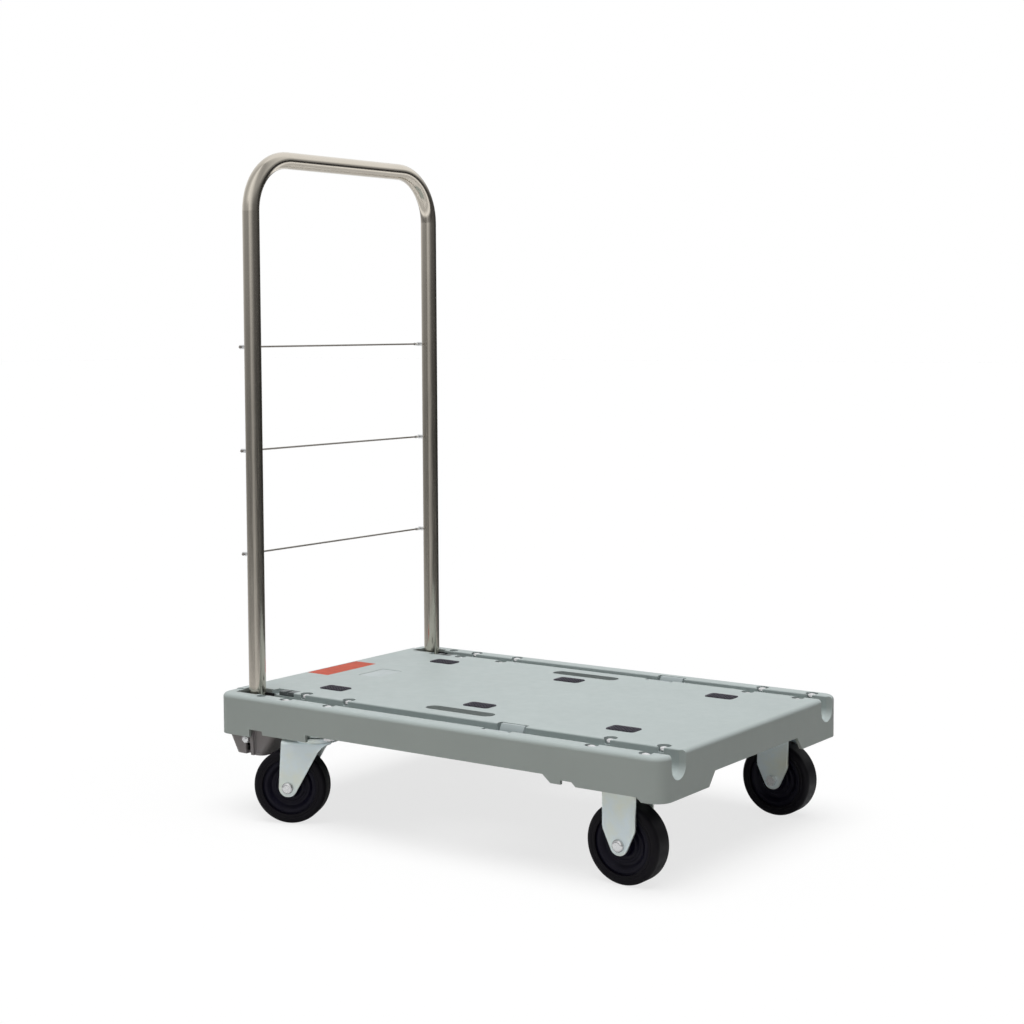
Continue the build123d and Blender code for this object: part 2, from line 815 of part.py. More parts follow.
with BuildPart() as pivot_nuts:
    for side in SIDES.values():
        inner_face = side * (track - bracket_outer)
        with BuildSketch(Plane.XZ.offset(-inner_face)):
            with Locations((leg_x, pivot_height)):
                RegularPolygon(hex_radius(pivot_head_flats), 6)
                Circle(pivot_diameter / 2 + plug_gap, mode=Mode.SUBTRACT)
        extrude(amount=side * pivot_nut_height)
save(pivot_nuts, "pivot_nuts")

# Screws that hold the hinge brackets to the deck, from below
with BuildPart() as bracket_screws:
    with BuildSketch(Plane.XY.offset(seat_height - bracket_plate)):
        with Locations(*bracket_screw_places):
            Circle(bracket_screw_diameter)
    extrude(amount=-bracket_plate)
    with BuildSketch(Plane.XY.offset(seat_height - bracket_plate)):
        with Locations(*bracket_screw_places):
            Circle(bracket_screw_diameter / 2)
    extrude(amount=bracket_screw_length)
save(bracket_screws, "bracket_screws")

# Bolts across the housings and the hinge brackets, with their heads outside
cross_bolt_share = (housing_top - cross_bolt_height) / (housing_top - housing_bottom)
housing_face = deck_width / 2 - housing_outer_inset - housing_taper_side / 2 * cross_bolt_share
with BuildPart() as cross_bolts:
    for side in SIDES.values():
        with BuildSketch(Plane.XZ.offset(-side * (housing_face + cross_bolt_gap))):
            with Locations((cross_bolt_x, cross_bolt_height)):
                Circle(cross_bolt_head_diameter / 2)
        extrude(amount=-side * cross_bolt_head_height)
        head_face = cross_bolts.faces().sort_by(Axis.Y)[0 if side < 0 else -1]
        fillet(head_face.edges(), cross_bolt_head_round)
        with BuildSketch(Plane.XZ.offset(-side * (housing_face + cross_bolt_gap))):
            with Locations((cross_bolt_x, cross_bolt_height)):
                Circle(cross_bolt_diameter / 2)
        extrude(amount=side * (housing_face - deck_width / 2 + housing_inner_inset))
save(cross_bolts, "housing_cross_bolts")

# Bolts that hang the housings from the deck
with BuildPart() as housing_bolts:
    with BuildSketch(Plane.XY.offset(bolt_seat)):
        with Locations(*housing_bolt_places):
            Circle(housing_bolt_head / 2)
    extrude(amount=housing_bolt_head_height)
    with BuildSketch(Plane.XY.offset(bolt_seat)):
        with Locations(*housing_bolt_places):
            Circle(housing_bolt_diameter / 2)
    extrude(amount=seat_height - housing_boss_length - bolt_seat)
save(housing_bolts, "housing_bolts")

# Countersunk screws of the snap clips
with BuildPart() as clip_screws:
    screw_head_depth = (clip_screw_head - clip_screw_diameter) / 2
    for side in SIDES.values():
        with BuildSketch(Plane.XZ.offset(-side * track)):
            top = clip_seat + clip_floor - plug_gap
            with BuildLine():
                Polyline(
                    (clip_x, top),
                    (clip_x + clip_screw_head / 2 - plug_gap, top),
                    (clip_x + clip_screw_diameter / 2, top - screw_head_depth),
                    (clip_x + clip_screw_diameter / 2, top - clip_screw_length),
                    (clip_x, top - clip_screw_length),
                    close=True,
                )
            make_face()
        revolve(axis=Axis((clip_x, side * track, 0), (0, 0, 1)))
save(clip_screws, "clip_screws")

# Cross wires behind the legs, each with a ball at both ends, and the studs that hold them
wire_x = leg_x - wire_offset
for name, height in wire_heights.items():
    with BuildPart() as wire:
        with Locations(Location((wire_x, 0, height), (90, 0, 0))):
            Cylinder(wire_diameter / 2, 2 * (track + wire_end))
        with Locations((wire_x, track + wire_end, height), (wire_x, -track - wire_end, height)):
            Sphere(wire_ball_diameter / 2)
    save(wire, f"cross_wire_{name}")

with BuildPart() as studs:
    stud_seat = leg_x - tube_radius - stud_seat_gap
    for side in SIDES.values():
        for height in wire_heights.values():
            stud_end = Location((wire_x - stud_tip, side * track, height), (0, 90, 0))
            with Locations(stud_end):
                Cylinder(
                    stud_diameter / 2,
                    stud_seat - wire_x + stud_tip,
                    align=(Align.CENTER, Align.CENTER, Align.MIN),
                )
                Cylinder(
                    stud_shank_diameter / 2,
                    stud_seat - wire_x + stud_tip + stud_shank_diameter,
                    align=(Align.CENTER, Align.CENTER, Align.MIN),
                )
            with Locations(Location((wire_x, side * track, height), (90, 0, 0))):
                Cylinder(wire_diameter / 2 + stud_hole_gap / 2, stud_diameter + overrun, mode=Mode.SUBTRACT)
save(studs, "wire_studs")


def caster_plane(caster_x, side, turn=0):
    """Frame of a caster on the floor under its middle, turned about the vertical."""
    forward = (cos(radians(turn)), sin(radians(turn)), 0)
    return Plane(origin=(caster_x, side * track, 0), x_dir=forward, z_dir=(0, 0, 1))


def upright(base, offset_x=0, offset_y=0):
    """Plane that stands on a caster's frame, with its x forward and its y up, facing the caster's -Y."""
    origin = base.from_local_coords(Vector(offset_x, offset_y, 0))
    return Plane(origin=origin, x_dir=base.x_dir, z_dir=-base.y_dir)


def make_tyre(base, wheel_x):
    """Tyre with rounded shoulders."""
    outer = wheel_diameter / 2
    half = wheel_width / 2
    with BuildPart() as tyre:
        with BuildSketch(Plane(origin=base.from_local_coords(Vector(wheel_x, 0, axle_height)),
                               x_dir=base.y_dir, z_dir=base.x_dir)) as section:
            with Locations((0, outer - tyre_thickness / 2)):
                Rectangle(2 * half, tyre_thickness)
            fillet(section.vertices().group_by(Axis.Z)[-1], tyre_shoulder)
        axle = Axis(base.from_local_coords(Vector(wheel_x, 0, axle_height)), base.y_dir)
        revolve(axis=axle)
    return tyre


def make_core(base, wheel_x):
    """Wheel core with a rim, a thinner stepped web and a hub that runs on the axle sleeve."""
    rim = wheel_diameter / 2 - tyre_thickness
    bore = sleeve_diameter / 2 + sleeve_running_gap
    rim_half = wheel_width / 2 - core_rim_depth / 2
    hub = core_hub_diameter / 2
    with BuildPart() as core:
        with BuildSketch(Plane(origin=base.from_local_coords(Vector(wheel_x, 0, axle_height)),
                               x_dir=base.y_dir, z_dir=base.x_dir)):
            with BuildLine():
                Polyline(
                    (-rim_half, rim),
                    (rim_half, rim),
                    (rim_half, rim - core_rim_wall),
                    (core_web_half, rim - core_rim_wall - core_rim_depth),
                    (core_web_half, hub),
                    (core_half_width, hub),
                    (core_half_width, bore),
                    (-core_half_width, bore),
                    (-core_half_width, hub),
                    (-core_web_half, hub),
                    (-core_web_half, rim - core_rim_wall - core_rim_depth),
                    (-rim_half, rim - core_rim_wall),
                    close=True,
                )
            make_face()
        axle = Axis(base.from_local_coords(Vector(wheel_x, 0, axle_height)), base.y_dir)
        revolve(axis=axle)
    return core


def make_sleeve(base, wheel_x):
    """Sleeve round the axle bolt, clamped between the fork plates."""
    with BuildPart() as sleeve:
        with BuildSketch(upright(base, wheel_x)):
            with Locations((0, axle_height)):
                Circle(sleeve_diameter / 2)
                Circle(axle_diameter / 2 + axle_sleeve_gap, mode=Mode.SUBTRACT)
        extrude(amount=fork_half_gap, both=True)
    return sleeve


def make_axle(base, wheel_x, side):
    """Axle bolt with a domed head on the cart's outer side."""
    outward = side * fork_outer
    head_radius = axle_head_diameter / 2
    with BuildPart() as axle:
        with BuildSketch(upright(base, wheel_x, outward)):
            with Locations((0, axle_height)):
                Circle(axle_diameter / 2)
        extrude(amount=side * (2 * fork_outer + axle_nut_height))
        with BuildSketch(upright(base, wheel_x, outward)):
            with Locations((0, axle_height)):
                Circle(head_radius)
        extrude(amount=-side * axle_head_height)
        head_face = axle.faces().sort_by(Axis(base.origin, base.y_dir * side))[-1]
        fillet(head_face.edges(), axle_head_round)
    return axle


def add_axle_nut(base, wheel_x, side):
    """Nut on the inner end of an axle bolt."""
    with BuildSketch(upright(base, wheel_x, -side * fork_outer)) as nut:
        with Locations((0, axle_height)):
            RegularPolygon(hex_radius(axle_nut_flats), 6)
            Circle(axle_diameter / 2 + plug_gap, mode=Mode.SUBTRACT)
    extrude(nut.sketch, amount=side * axle_nut_height)


def add_top_plate(base):
    """Caster plate with its four bolt holes."""
    with BuildSketch(base.offset(plate_under)) as plate:
        RectangleRounded(plate_length, plate_width, plate_corner)
        with GridLocations(bolt_pitch_x, bolt_pitch_y, 2, 2):
            Circle(bolt_diameter / 2 + bolt_hole_gap, mode=Mode.SUBTRACT)
    extrude(plate.sketch, amount=plate_thickness)


def add_fork_plates(base, wheel_x, outline):
    """Two fork plates of one outline, with a round tip and a bore for the axle bolt."""
    for edge in (-1, 1):
        with BuildSketch(upright(base, 0, edge * (fork_half_gap + fork_plate / 2))) as plate:
            with BuildLine():
                Polyline(*outline, close=True)
            make_face()
            with Locations((wheel_x, axle_height)):
                Circle(fork_tip_radius)
                Circle(axle_diameter / 2 + plug_gap, mode=Mode.SUBTRACT)
        extrude(plate.sketch, amount=fork_plate / 2, both=True)


def tangent_point(corner, centre, radius, turn):
    """Point where a line from an outer corner touches a circle, on the side given by turn."""
    dx = corner[0] - centre[0]
    dy = corner[1] - centre[1]
    spread = atan2((hypot(dx, dy) ** 2 - radius ** 2) ** 0.5, radius)
    angle = atan2(dy, dx) + turn * spread
    return centre[0] + radius * cos(angle), centre[1] + radius * sin(angle)


def make_fixed_bracket(base):
    """Front bracket: plate and two straight fork plates that taper to the axle."""
    half = fixed_fork_width / 2
    tip = (0, axle_height)
    right_corner = (half, fixed_fork_shoulder)
    left_corner = (-half, fixed_fork_shoulder)
    outline = [
        (-half, plate_under + plate_thickness / 2),
        (half, plate_under + plate_thickness / 2),
        right_corner,
        tangent_point(right_corner, tip, fork_tip_radius, -1),
        tip,
        tangent_point(left_corner, tip, fork_tip_radius, 1),
        left_corner,
    ]
    with BuildPart() as bracket:
        add_top_plate(base)
        add_fork_plates(base, 0, outline)
    return bracket


def make_swivel_plate(base):
    """Rear top plate with the upper ball race under it and the kingpin's hole."""
    race_low = crown_top + ball_diameter + 2 * ball_gap
    with BuildPart() as plate:
        add_top_plate(base)
        with BuildSketch(base.offset(race_low)):
            Circle(ball_circle + race_wall / 2)
            Circle(ball_circle - race_wall / 2, mode=Mode.SUBTRACT)
        extrude(amount=plate_under - race_low)
        with BuildSketch(base.offset(plate_under)):
            Circle(kingpin_diameter / 2 + plug_gap)
        extrude(amount=plate_thickness, mode=Mode.SUBTRACT)
    return plate


def make_swivel_fork(base):
    """Rear fork: crown with a lip round the balls, and two plates that trail back to the axle."""
    tip = (-trail, axle_height)
    crown_low = crown_top - crown_thickness
    waist = (fork_waist_x, fork_waist_height)
    rear_corner = (-fork_rear_reach, crown_top)
    outline = [
        rear_corner,
        (fork_front_reach, crown_top),
        (fork_front_reach, crown_low),
        (fork_flare_x, fork_flare_height),
        waist,
        tangent_point(waist, tip, fork_tip_radius, -1),
        tip,
        tangent_point(rear_corner, tip, fork_tip_radius, 1),
    ]
    with BuildPart() as fork:
        add_fork_plates(base, -trail, outline)
        with BuildSketch(base.offset(crown_low)):
            Circle(crown_radius)
            with Locations(((fork_front_reach - fork_rear_reach) / 2, 0)):
                Rectangle(fork_front_reach + fork_rear_reach, 2 * fork_outer)
            Circle(kingpin_diameter / 2 + kingpin_running_gap, mode=Mode.SUBTRACT)
        extrude(amount=crown_thickness)
        with BuildSketch(base.offset(crown_low)):
            Circle(crown_radius)
            Circle(crown_radius - crown_lip, mode=Mode.SUBTRACT)
        extrude(amount=crown_thickness + crown_lip_height)
    return fork


def make_ball_ring(base):
    """Loose balls between the crown and the upper race."""
    height = crown_top + ball_gap + ball_diameter / 2
    with BuildPart(base.offset(height)) as balls:
        with PolarLocations(ball_circle, ball_count):
            Sphere(ball_diameter / 2)
    return balls


def save_wheel(base, wheel_x, side, place):
    """Tyre, core, sleeve and axle bolt of one caster."""
    save(make_tyre(base, wheel_x), f"tyre_{place}")
    save(make_core(base, wheel_x), f"wheel_core_{place}")
    save(make_sleeve(base, wheel_x), f"axle_sleeve_{place}")
    save(make_axle(base, wheel_x, side), f"axle_bolt_{place}")


for side_name, side in SIDES.items():
    front = caster_plane(front_caster_x, side)
    save(make_fixed_bracket(front), f"fixed_bracket_{side_name}")
    save_wheel(front, 0, side, f"front_{side_name}")

    rear = caster_plane(rear_caster_x, side)
    turned = caster_plane(rear_caster_x, side, -side * swivel_turn)
    save(make_swivel_plate(rear), f"swivel_plate_{side_name}")
    save(make_swivel_fork(turned), f"swivel_fork_{side_name}")
    save(make_ball_ring(turned), f"ball_ring_{side_name}")
    save_wheel(turned, -trail, side, f"rear_{side_name}")
    with BuildPart() as rear_nut:
        add_axle_nut(turned, -trail, side)
    save(rear_nut, f"axle_nut_rear_{side_name}")

with BuildPart() as front_nuts:
    for side in SIDES.values():
        add_axle_nut(caster_plane(front_caster_x, side), 0, side)
save(front_nuts, "axle_nuts_front")

# Kingpins set in the swivel plates, with heads that hold the crowns up
kingpin_head_top = crown_top - crown_thickness - kingpin_head_gap
with BuildPart() as kingpins:
    for side in SIDES.values():
        with BuildSketch(Plane.XY.offset(kingpin_head_top)):
            with Locations((rear_caster_x, side * track)):
                Circle(kingpin_head_diameter / 2)
        extrude(amount=-kingpin_head_height)
        with BuildSketch(Plane.XY.offset(kingpin_head_top)):
            with Locations((rear_caster_x, side * track)):
                Circle(kingpin_diameter / 2)
        extrude(amount=seat_height - kingpin_head_top)
save(kingpins, "kingpins")

# Bolts through the deck and the caster plates, and the nuts under the plates
bolt_end = plate_under - nut_height - bolt_end_length
with BuildPart() as caster_bolts:
    with BuildSketch(Plane.XY.offset(bolt_seat)):
        with Locations(*caster_bolt_places):
            Circle(bolt_head_diameter / 2)
    extrude(amount=bolt_head_height)
    fillet(caster_bolts.edges().group_by(Axis.Z)[-1], bolt_head_round)
    with BuildSketch(Plane.XY.offset(bolt_seat)):
        with Locations(*caster_bolt_places):
            Circle(bolt_diameter / 2)
    extrude(amount=bolt_end - bolt_seat)
save(caster_bolts, "caster_bolts")

with BuildPart() as caster_nuts:
    with BuildSketch(Plane.XY.offset(plate_under)):
        with Locations(*caster_bolt_places):
            RegularPolygon(hex_radius(nut_flats), 6)
            Circle(bolt_diameter / 2 + plug_gap, mode=Mode.SUBTRACT)
    extrude(amount=-nut_height)
save(caster_nuts, "caster_nuts")
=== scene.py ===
import json
import math
from itertools import product

import bmesh
import bpy
from bpy.props import FloatProperty, FloatVectorProperty, IntProperty, PointerProperty
from bpy.types import Operator, Panel, PropertyGroup
from mathutils import Matrix, Vector


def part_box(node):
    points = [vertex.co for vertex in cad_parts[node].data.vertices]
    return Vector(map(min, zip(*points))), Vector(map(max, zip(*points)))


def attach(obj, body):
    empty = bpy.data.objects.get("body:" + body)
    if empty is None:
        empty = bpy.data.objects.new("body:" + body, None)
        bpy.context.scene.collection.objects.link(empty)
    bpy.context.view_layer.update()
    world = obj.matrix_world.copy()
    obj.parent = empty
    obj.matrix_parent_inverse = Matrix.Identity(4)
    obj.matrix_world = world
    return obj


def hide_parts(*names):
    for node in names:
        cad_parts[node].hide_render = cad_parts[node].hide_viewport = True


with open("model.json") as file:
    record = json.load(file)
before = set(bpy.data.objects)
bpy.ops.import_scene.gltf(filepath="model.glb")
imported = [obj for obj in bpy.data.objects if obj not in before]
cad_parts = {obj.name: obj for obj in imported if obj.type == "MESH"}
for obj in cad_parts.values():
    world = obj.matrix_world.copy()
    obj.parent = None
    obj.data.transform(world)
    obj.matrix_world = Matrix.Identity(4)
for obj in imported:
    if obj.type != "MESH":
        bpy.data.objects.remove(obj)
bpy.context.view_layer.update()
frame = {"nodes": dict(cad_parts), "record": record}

bl_info = {
    "name": "Folding platform cart",
    "version": (1, 0, 0),
    "blender": (4, 5, 0),
    "location": "3D View > Sidebar > Cart",
    "description": "Dresses the packed frame of a folding platform cart with finishes and detailed pieces",
    "category": "Object",
}

MM = 0.001
SIDES = {"right": -1, "left": 1}
PAD_ROWS = ("rear", "middle", "front")
WIRES = ("lower", "middle", "upper")

# Places of the frame, in metres
DECK_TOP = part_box("deck")[1].z
TYRE_LOW, TYRE_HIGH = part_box("tyre_front_right")
WHEEL_RADIUS = (TYRE_HIGH.z - TYRE_LOW.z) / 2
TRACK = -(TYRE_LOW.y + TYRE_HIGH.y) / 2
FRONT_X = (TYRE_LOW.x + TYRE_HIGH.x) / 2
PLATE_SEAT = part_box("fixed_bracket_right")[1].z

# Sizes of the casters, in metres
SWIVEL_X = -212 * MM
SWIVEL_TURN = math.radians(25)
TRAIL = 37.5 * MM
FORK_HALF = 21.1 * MM
FORK_TIP = 13 * MM
FORK_SHEET = 2.8 * MM
PLATE_SHEET = 4 * MM
BOLT_PITCH_X = 78 * MM
BOLT_PITCH_Y = 43.5 * MM

# Steps along the curves of the forks and clips and of round corners, and round the small turned pieces
TIP_STEPS = 10
LEG_STEPS = 40
BEND_STEPS = 6
RACE_STEPS = 72
GRIP_STEPS = 24
CORNER_STEPS = 6
SHOULDER_STEPS = 8
SMALL_STEPS = 24
HOLE_STEPS = 32

# Points nearer than this are one point, and faces that turn by less than this are one face
MERGE_REACH = 0.005 * MM
FLAT_TURN = math.radians(1)

# An edge that rises by more than this is upright, and a face whose normal has more than this of Z is a top
UPRIGHT_EDGE = 0.3 * MM
TOP_NORMAL = 0.9

# Turns in degrees from which an edge is a sharp one, on most pieces and on folded sheet
SHARP_TURN = 35
SHEET_TURN = 40

# Radius on the edges of the hard moulded pieces, finer than that of the clips
FINE_ROUND = 0.6 * MM

# Turns a lathed shape's axis from Y up to Z
UPRIGHT = Matrix.Rotation(math.pi / 2, 4, "X")


def linear(code):
    """Turns an sRGB hex colour into linear values."""
    parts = [int(code[i:i + 2], 16) / 255 for i in (1, 3, 5)]
    return tuple(p / 12.92 if p <= 0.04045 else ((p + 0.055) / 1.055) ** 2.4 for p in parts)


class CartColours(PropertyGroup):
    """Colours of the cart's finishes."""

    deck: FloatVectorProperty(
        name="Deck", description="Grey of the moulded deck",
        subtype="COLOR", min=0, max=1, default=linear("#B2BCBB"))
    clip: FloatVectorProperty(
        name="Clips", description="Pale grey of the snap clips",
        subtype="COLOR", min=0, max=1, default=linear("#B4BEBF"))
    housing: FloatVectorProperty(
        name="Housings", description="Darker grey of the corner housings",
        subtype="COLOR", min=0, max=1, default=linear("#A09DA1"))
    slider: FloatVectorProperty(
        name="Lock sliders", description="Dark grey of the lock sliders",
        subtype="COLOR", min=0, max=1, default=linear("#626768"))
    panel: FloatVectorProperty(
        name="Panel", description="Orange of the plain panel at the rear edge",
        subtype="COLOR", min=0, max=1, default=linear("#BE5038"))
    pad: FloatVectorProperty(
        name="Pads", description="Near black of the grip pads",
        subtype="COLOR", min=0, max=1, default=linear("#2E2B35"))
    tyre: FloatVectorProperty(
        name="Tyres", description="Black of the tyres",
        subtype="COLOR", min=0, max=1, default=linear("#08060D"))
    core: FloatVectorProperty(
        name="Wheel cores", description="Black of the moulded wheel cores",
        subtype="COLOR", min=0, max=1, default=linear("#080617"))
    tube: FloatVectorProperty(
        name="Handle", description="Warm grey of the polished stainless steel tube",
        subtype="COLOR", min=0, max=1, default=linear("#CFC8BC"))
    wire: FloatVectorProperty(
        name="Wires", description="Grey of the drawn steel wires",
        subtype="COLOR", min=0, max=1, default=linear("#8E8984"))
    zinc: FloatVectorProperty(
        name="Zinc plate", description="Bluish white of the zinc plated caster forks",
        subtype="COLOR", min=0, max=1, default=linear("#EDFAFF"))
    passivate: FloatVectorProperty(
        name="Zinc clouds", description="Yellow green tint in the passivated zinc",
        subtype="COLOR", min=0, max=1, default=linear("#EDF3E6"))
    coat: FloatVectorProperty(
        name="Black coat", description="Black powder coat of the hinge brackets",
        subtype="COLOR", min=0, max=1, default=linear("#1E1D20"))
    bright: FloatVectorProperty(
        name="Fasteners", description="Bright plated steel of the bolts and nuts",
        subtype="COLOR", min=0, max=1, default=linear("#DDDEDF"))


class CartSizes(PropertyGroup):
    """Sizes of the details that the frame leaves to this script."""

    edge_round: FloatProperty(
        name="Moulded edge", description="Radius on the edges of the moulded pieces",
        unit="LENGTH", min=0.0001, max=0.003, default=0.8 * MM)
    sheet_round: FloatProperty(
        name="Sheet edge", description="Radius on the cut edges of the steel sheet",
        unit="LENGTH", min=0.0001, max=0.001, default=0.5 * MM)
    sheet_bend: FloatProperty(
        name="Sheet bend", description="Middle radius of the bends in the caster forks",
        unit="LENGTH", min=0.003, max=0.012, default=7 * MM)
    grip_pitch: FloatProperty(
        name="Grip pitch", description="Distance between the studs of the grip pads",
        unit="LENGTH", min=0.002, max=0.008, default=5.2 * MM)
    ring_step: FloatProperty(
        name="Wheel ring", description="Depth of the moulded rings on the wheels",
        unit="LENGTH", min=0.0002, max=0.002, default=0.8 * MM)
    wheel_steps: IntProperty(
        name="Wheel facets", description="Faces round each wheel", min=32, max=160, default=96)


class CartSettings(PropertyGroup):
    """All settings of the cart."""

    colours: PointerProperty(type=CartColours)
    sizes: PointerProperty(type=CartSizes)


# Finishes


def feed(node, inputs):
    """Sets a node's inputs, each to a value or to the socket that feeds it."""
    for key, value in inputs.items():
        if isinstance(value, bpy.types.NodeSocket):
            node.id_data.links.new(value, node.inputs[key])
        else:
            node.inputs[key].default_value = value


def add_node(tree, kind, inputs=None, stops=(), **settings):
    """Adds a node with its settings and inputs; a colour ramp also takes its stops of (position, colour)."""
    made = tree.nodes.new(kind)
    for key, value in settings.items():
        setattr(made, key, value)
    feed(made, inputs or {})
    if stops:
        elements = made.color_ramp.elements
        elements.remove(elements[-1])
        elements[0].position, elements[0].color = stops[0]
        for position, colour in stops[1:]:
            elements.new(position).color = colour
    return made


def shade(colour, factor):
    """A lighter or darker copy of a linear colour, as four values."""
    return (*[min(1.0, channel * factor) for channel in colour], 1.0)


def begin(name):
    """Starts a material and returns it with its tree, its shader and its Object coordinates."""
    material = bpy.data.materials.new(name)
    material.use_nodes = True
    tree = material.node_tree
    place = add_node(tree, "ShaderNodeTexCoord").outputs["Object"]
    return material, tree, tree.nodes["Principled BSDF"], place


def moulded_plastic(name, colour, grain_mm, roughness, depth_mm, ior=1.49):
    """Injection moulded plastic: a spark eroded grain, cloudy tone and a sheen that varies a little.
    The real grain is under 0.5 mm, so grain_mm is as coarse as it needs to be to show in the render."""
    material, tree, shader, place = begin(name)
    cloud = add_node(tree, "ShaderNodeTexNoise", {"Vector": place, "Scale": 1 / (70 * MM), "Detail": 4.0})
    tone = add_node(tree, "ShaderNodeValToRGB", {"Fac": cloud.outputs["Fac"]},
                    stops=((0.3, shade(colour, 0.98)), (0.7, shade(colour, 1.02))))
    rub = add_node(tree, "ShaderNodeTexNoise", {"Vector": place, "Scale": 1 / (14 * MM), "Detail": 6.0})
    sheen = add_node(tree, "ShaderNodeMapRange", {
        "Value": rub.outputs["Fac"], "From Min": 0.3, "From Max": 0.7,
        "To Min": roughness - 0.06, "To Max": roughness + 0.07})
    grain = add_node(tree, "ShaderNodeTexNoise", {
        "Vector": place, "Scale": 1 / (grain_mm * MM), "Detail": 2.0})
    bump = add_node(tree, "ShaderNodeBump", {
        "Height": grain.outputs["Fac"], "Strength": 0.5, "Distance": depth_mm * MM})
    feed(shader, {"Base Color": tone.outputs["Color"], "Roughness": sheen.outputs["Result"],
                  "Normal": bump.outputs["Normal"], "IOR": ior})
    return material


def deck_polypropylene(colours):
    """Polypropylene, moulded: an even satin grey with a fine grain."""
    return moulded_plastic("moulded_polypropylene", colours.deck, 1.6, 0.5, 0.05)


def clip_acetal(colours):
    """Acetal, moulded: a slightly paler and smoother grey than the deck."""
    return moulded_plastic("moulded_acetal", colours.clip, 2.0, 0.38, 0.02)


def housing_nylon(colours):
    """Glass filled nylon, moulded: a dull darker grey with a deep grain."""
    return moulded_plastic("glass_filled_nylon", colours.housing, 1.8, 0.55, 0.08)


def slider_nylon(colours):
    """Nylon, moulded: a dark grey, smoother than the housings where thumbs have rubbed it."""
    return moulded_plastic("moulded_dark_nylon", colours.slider, 2.2, 0.5, 0.03)


def core_nylon(colours):
    """Black nylon, moulded: a smooth satin face with a cool tint."""
    return moulded_plastic("moulded_black_nylon", colours.core, 2.4, 0.45, 0.03, ior=1.28)


def powder_coat(colours):
    """Powder coat on steel: a black skin with a slight orange peel and a soft shine."""
    return moulded_plastic("black_powder_coat", colours.coat, 3.0, 0.42, 0.05)


def pad_rubber(colours):
    """Moulded rubber: near black, dull on the tips of its studs and dusty between them."""
    material, tree, shader, place = begin("moulded_grip_rubber")
    dust = add_node(tree, "ShaderNodeTexNoise", {"Vector": place, "Scale": 1 / (6 * MM), "Detail": 5.0})
    tone = add_node(tree, "ShaderNodeValToRGB", {"Fac": dust.outputs["Fac"]},
                    stops=((0.35, shade(colours.pad, 0.75)), (0.8, shade(colours.pad, 1.6))))
    grit = add_node(tree, "ShaderNodeTexNoise", {"Vector": place, "Scale": 1 / (0.9 * MM), "Detail": 2.0})
    bump = add_node(tree, "ShaderNodeBump", {
        "Height": grit.outputs["Fac"], "Strength": 0.6, "Distance": 0.1 * MM})
    feed(shader, {"Base Color": tone.outputs["Color"], "Roughness": 0.62, "IOR": 1.52,
                  "Normal": bump.outputs["Normal"]})
    return material


def tyre_rubber(colours):
    """Hard rubber, moulded and buffed: black with a soft shine, a faint skin and dust on the tread."""
    material, tree, shader, place = begin("hard_tyre_rubber")
    dust = add_node(tree, "ShaderNodeTexNoise", {"Vector": place, "Scale": 1 / (9 * MM), "Detail": 6.0})
    tone = add_node(tree, "ShaderNodeValToRGB", {"Fac": dust.outputs["Fac"]},
                    stops=((0.4, shade(colours.tyre, 0.85)), (0.85, shade(colours.tyre, 1.5))))
    sheen = add_node(tree, "ShaderNodeMapRange", {
        "Value": dust.outputs["Fac"], "From Min": 0.3, "From Max": 0.75, "To Min": 0.42, "To Max": 0.58})
    skin = add_node(tree, "ShaderNodeTexNoise", {"Vector": place, "Scale": 1 / (2.2 * MM), "Detail": 3.0})
    bump = add_node(tree, "ShaderNodeBump", {
        "Height": skin.outputs["Fac"], "Strength": 0.35, "Distance": 0.08 * MM})
    feed(shader, {"Base Color": tone.outputs["Color"], "Roughness": sheen.outputs["Result"], "IOR": 1.25,
                  "Normal": bump.outputs["Normal"]})
    return material


def panel_enamel(colours):
    """Enamel on a plate: a flat orange with faint streaks along X, as a brush leaves them."""
    material, tree, shader, place = begin("orange_enamel")
    stretched = add_node(tree, "ShaderNodeMapping", {"Vector": place, "Scale": (0.25, 1.0, 1.0)})
    streak = add_node(tree, "ShaderNodeTexNoise", {
        "Vector": stretched.outputs["Vector"], "Scale": 1 / (7 * MM), "Detail": 5.0})
    tone = add_node(tree, "ShaderNodeValToRGB", {"Fac": streak.outputs["Fac"]},
                    stops=((0.35, shade(colours.panel, 0.9)), (0.7, shade(colours.panel, 1.15))))
    bump = add_node(tree, "ShaderNodeBump", {
        "Height": streak.outputs["Fac"], "Strength": 0.3, "Distance": 0.05 * MM})
    feed(shader, {"Base Color": tone.outputs["Color"], "Roughness": 0.5, "IOR": 1.2,
                  "Normal": bump.outputs["Normal"]})
    return material


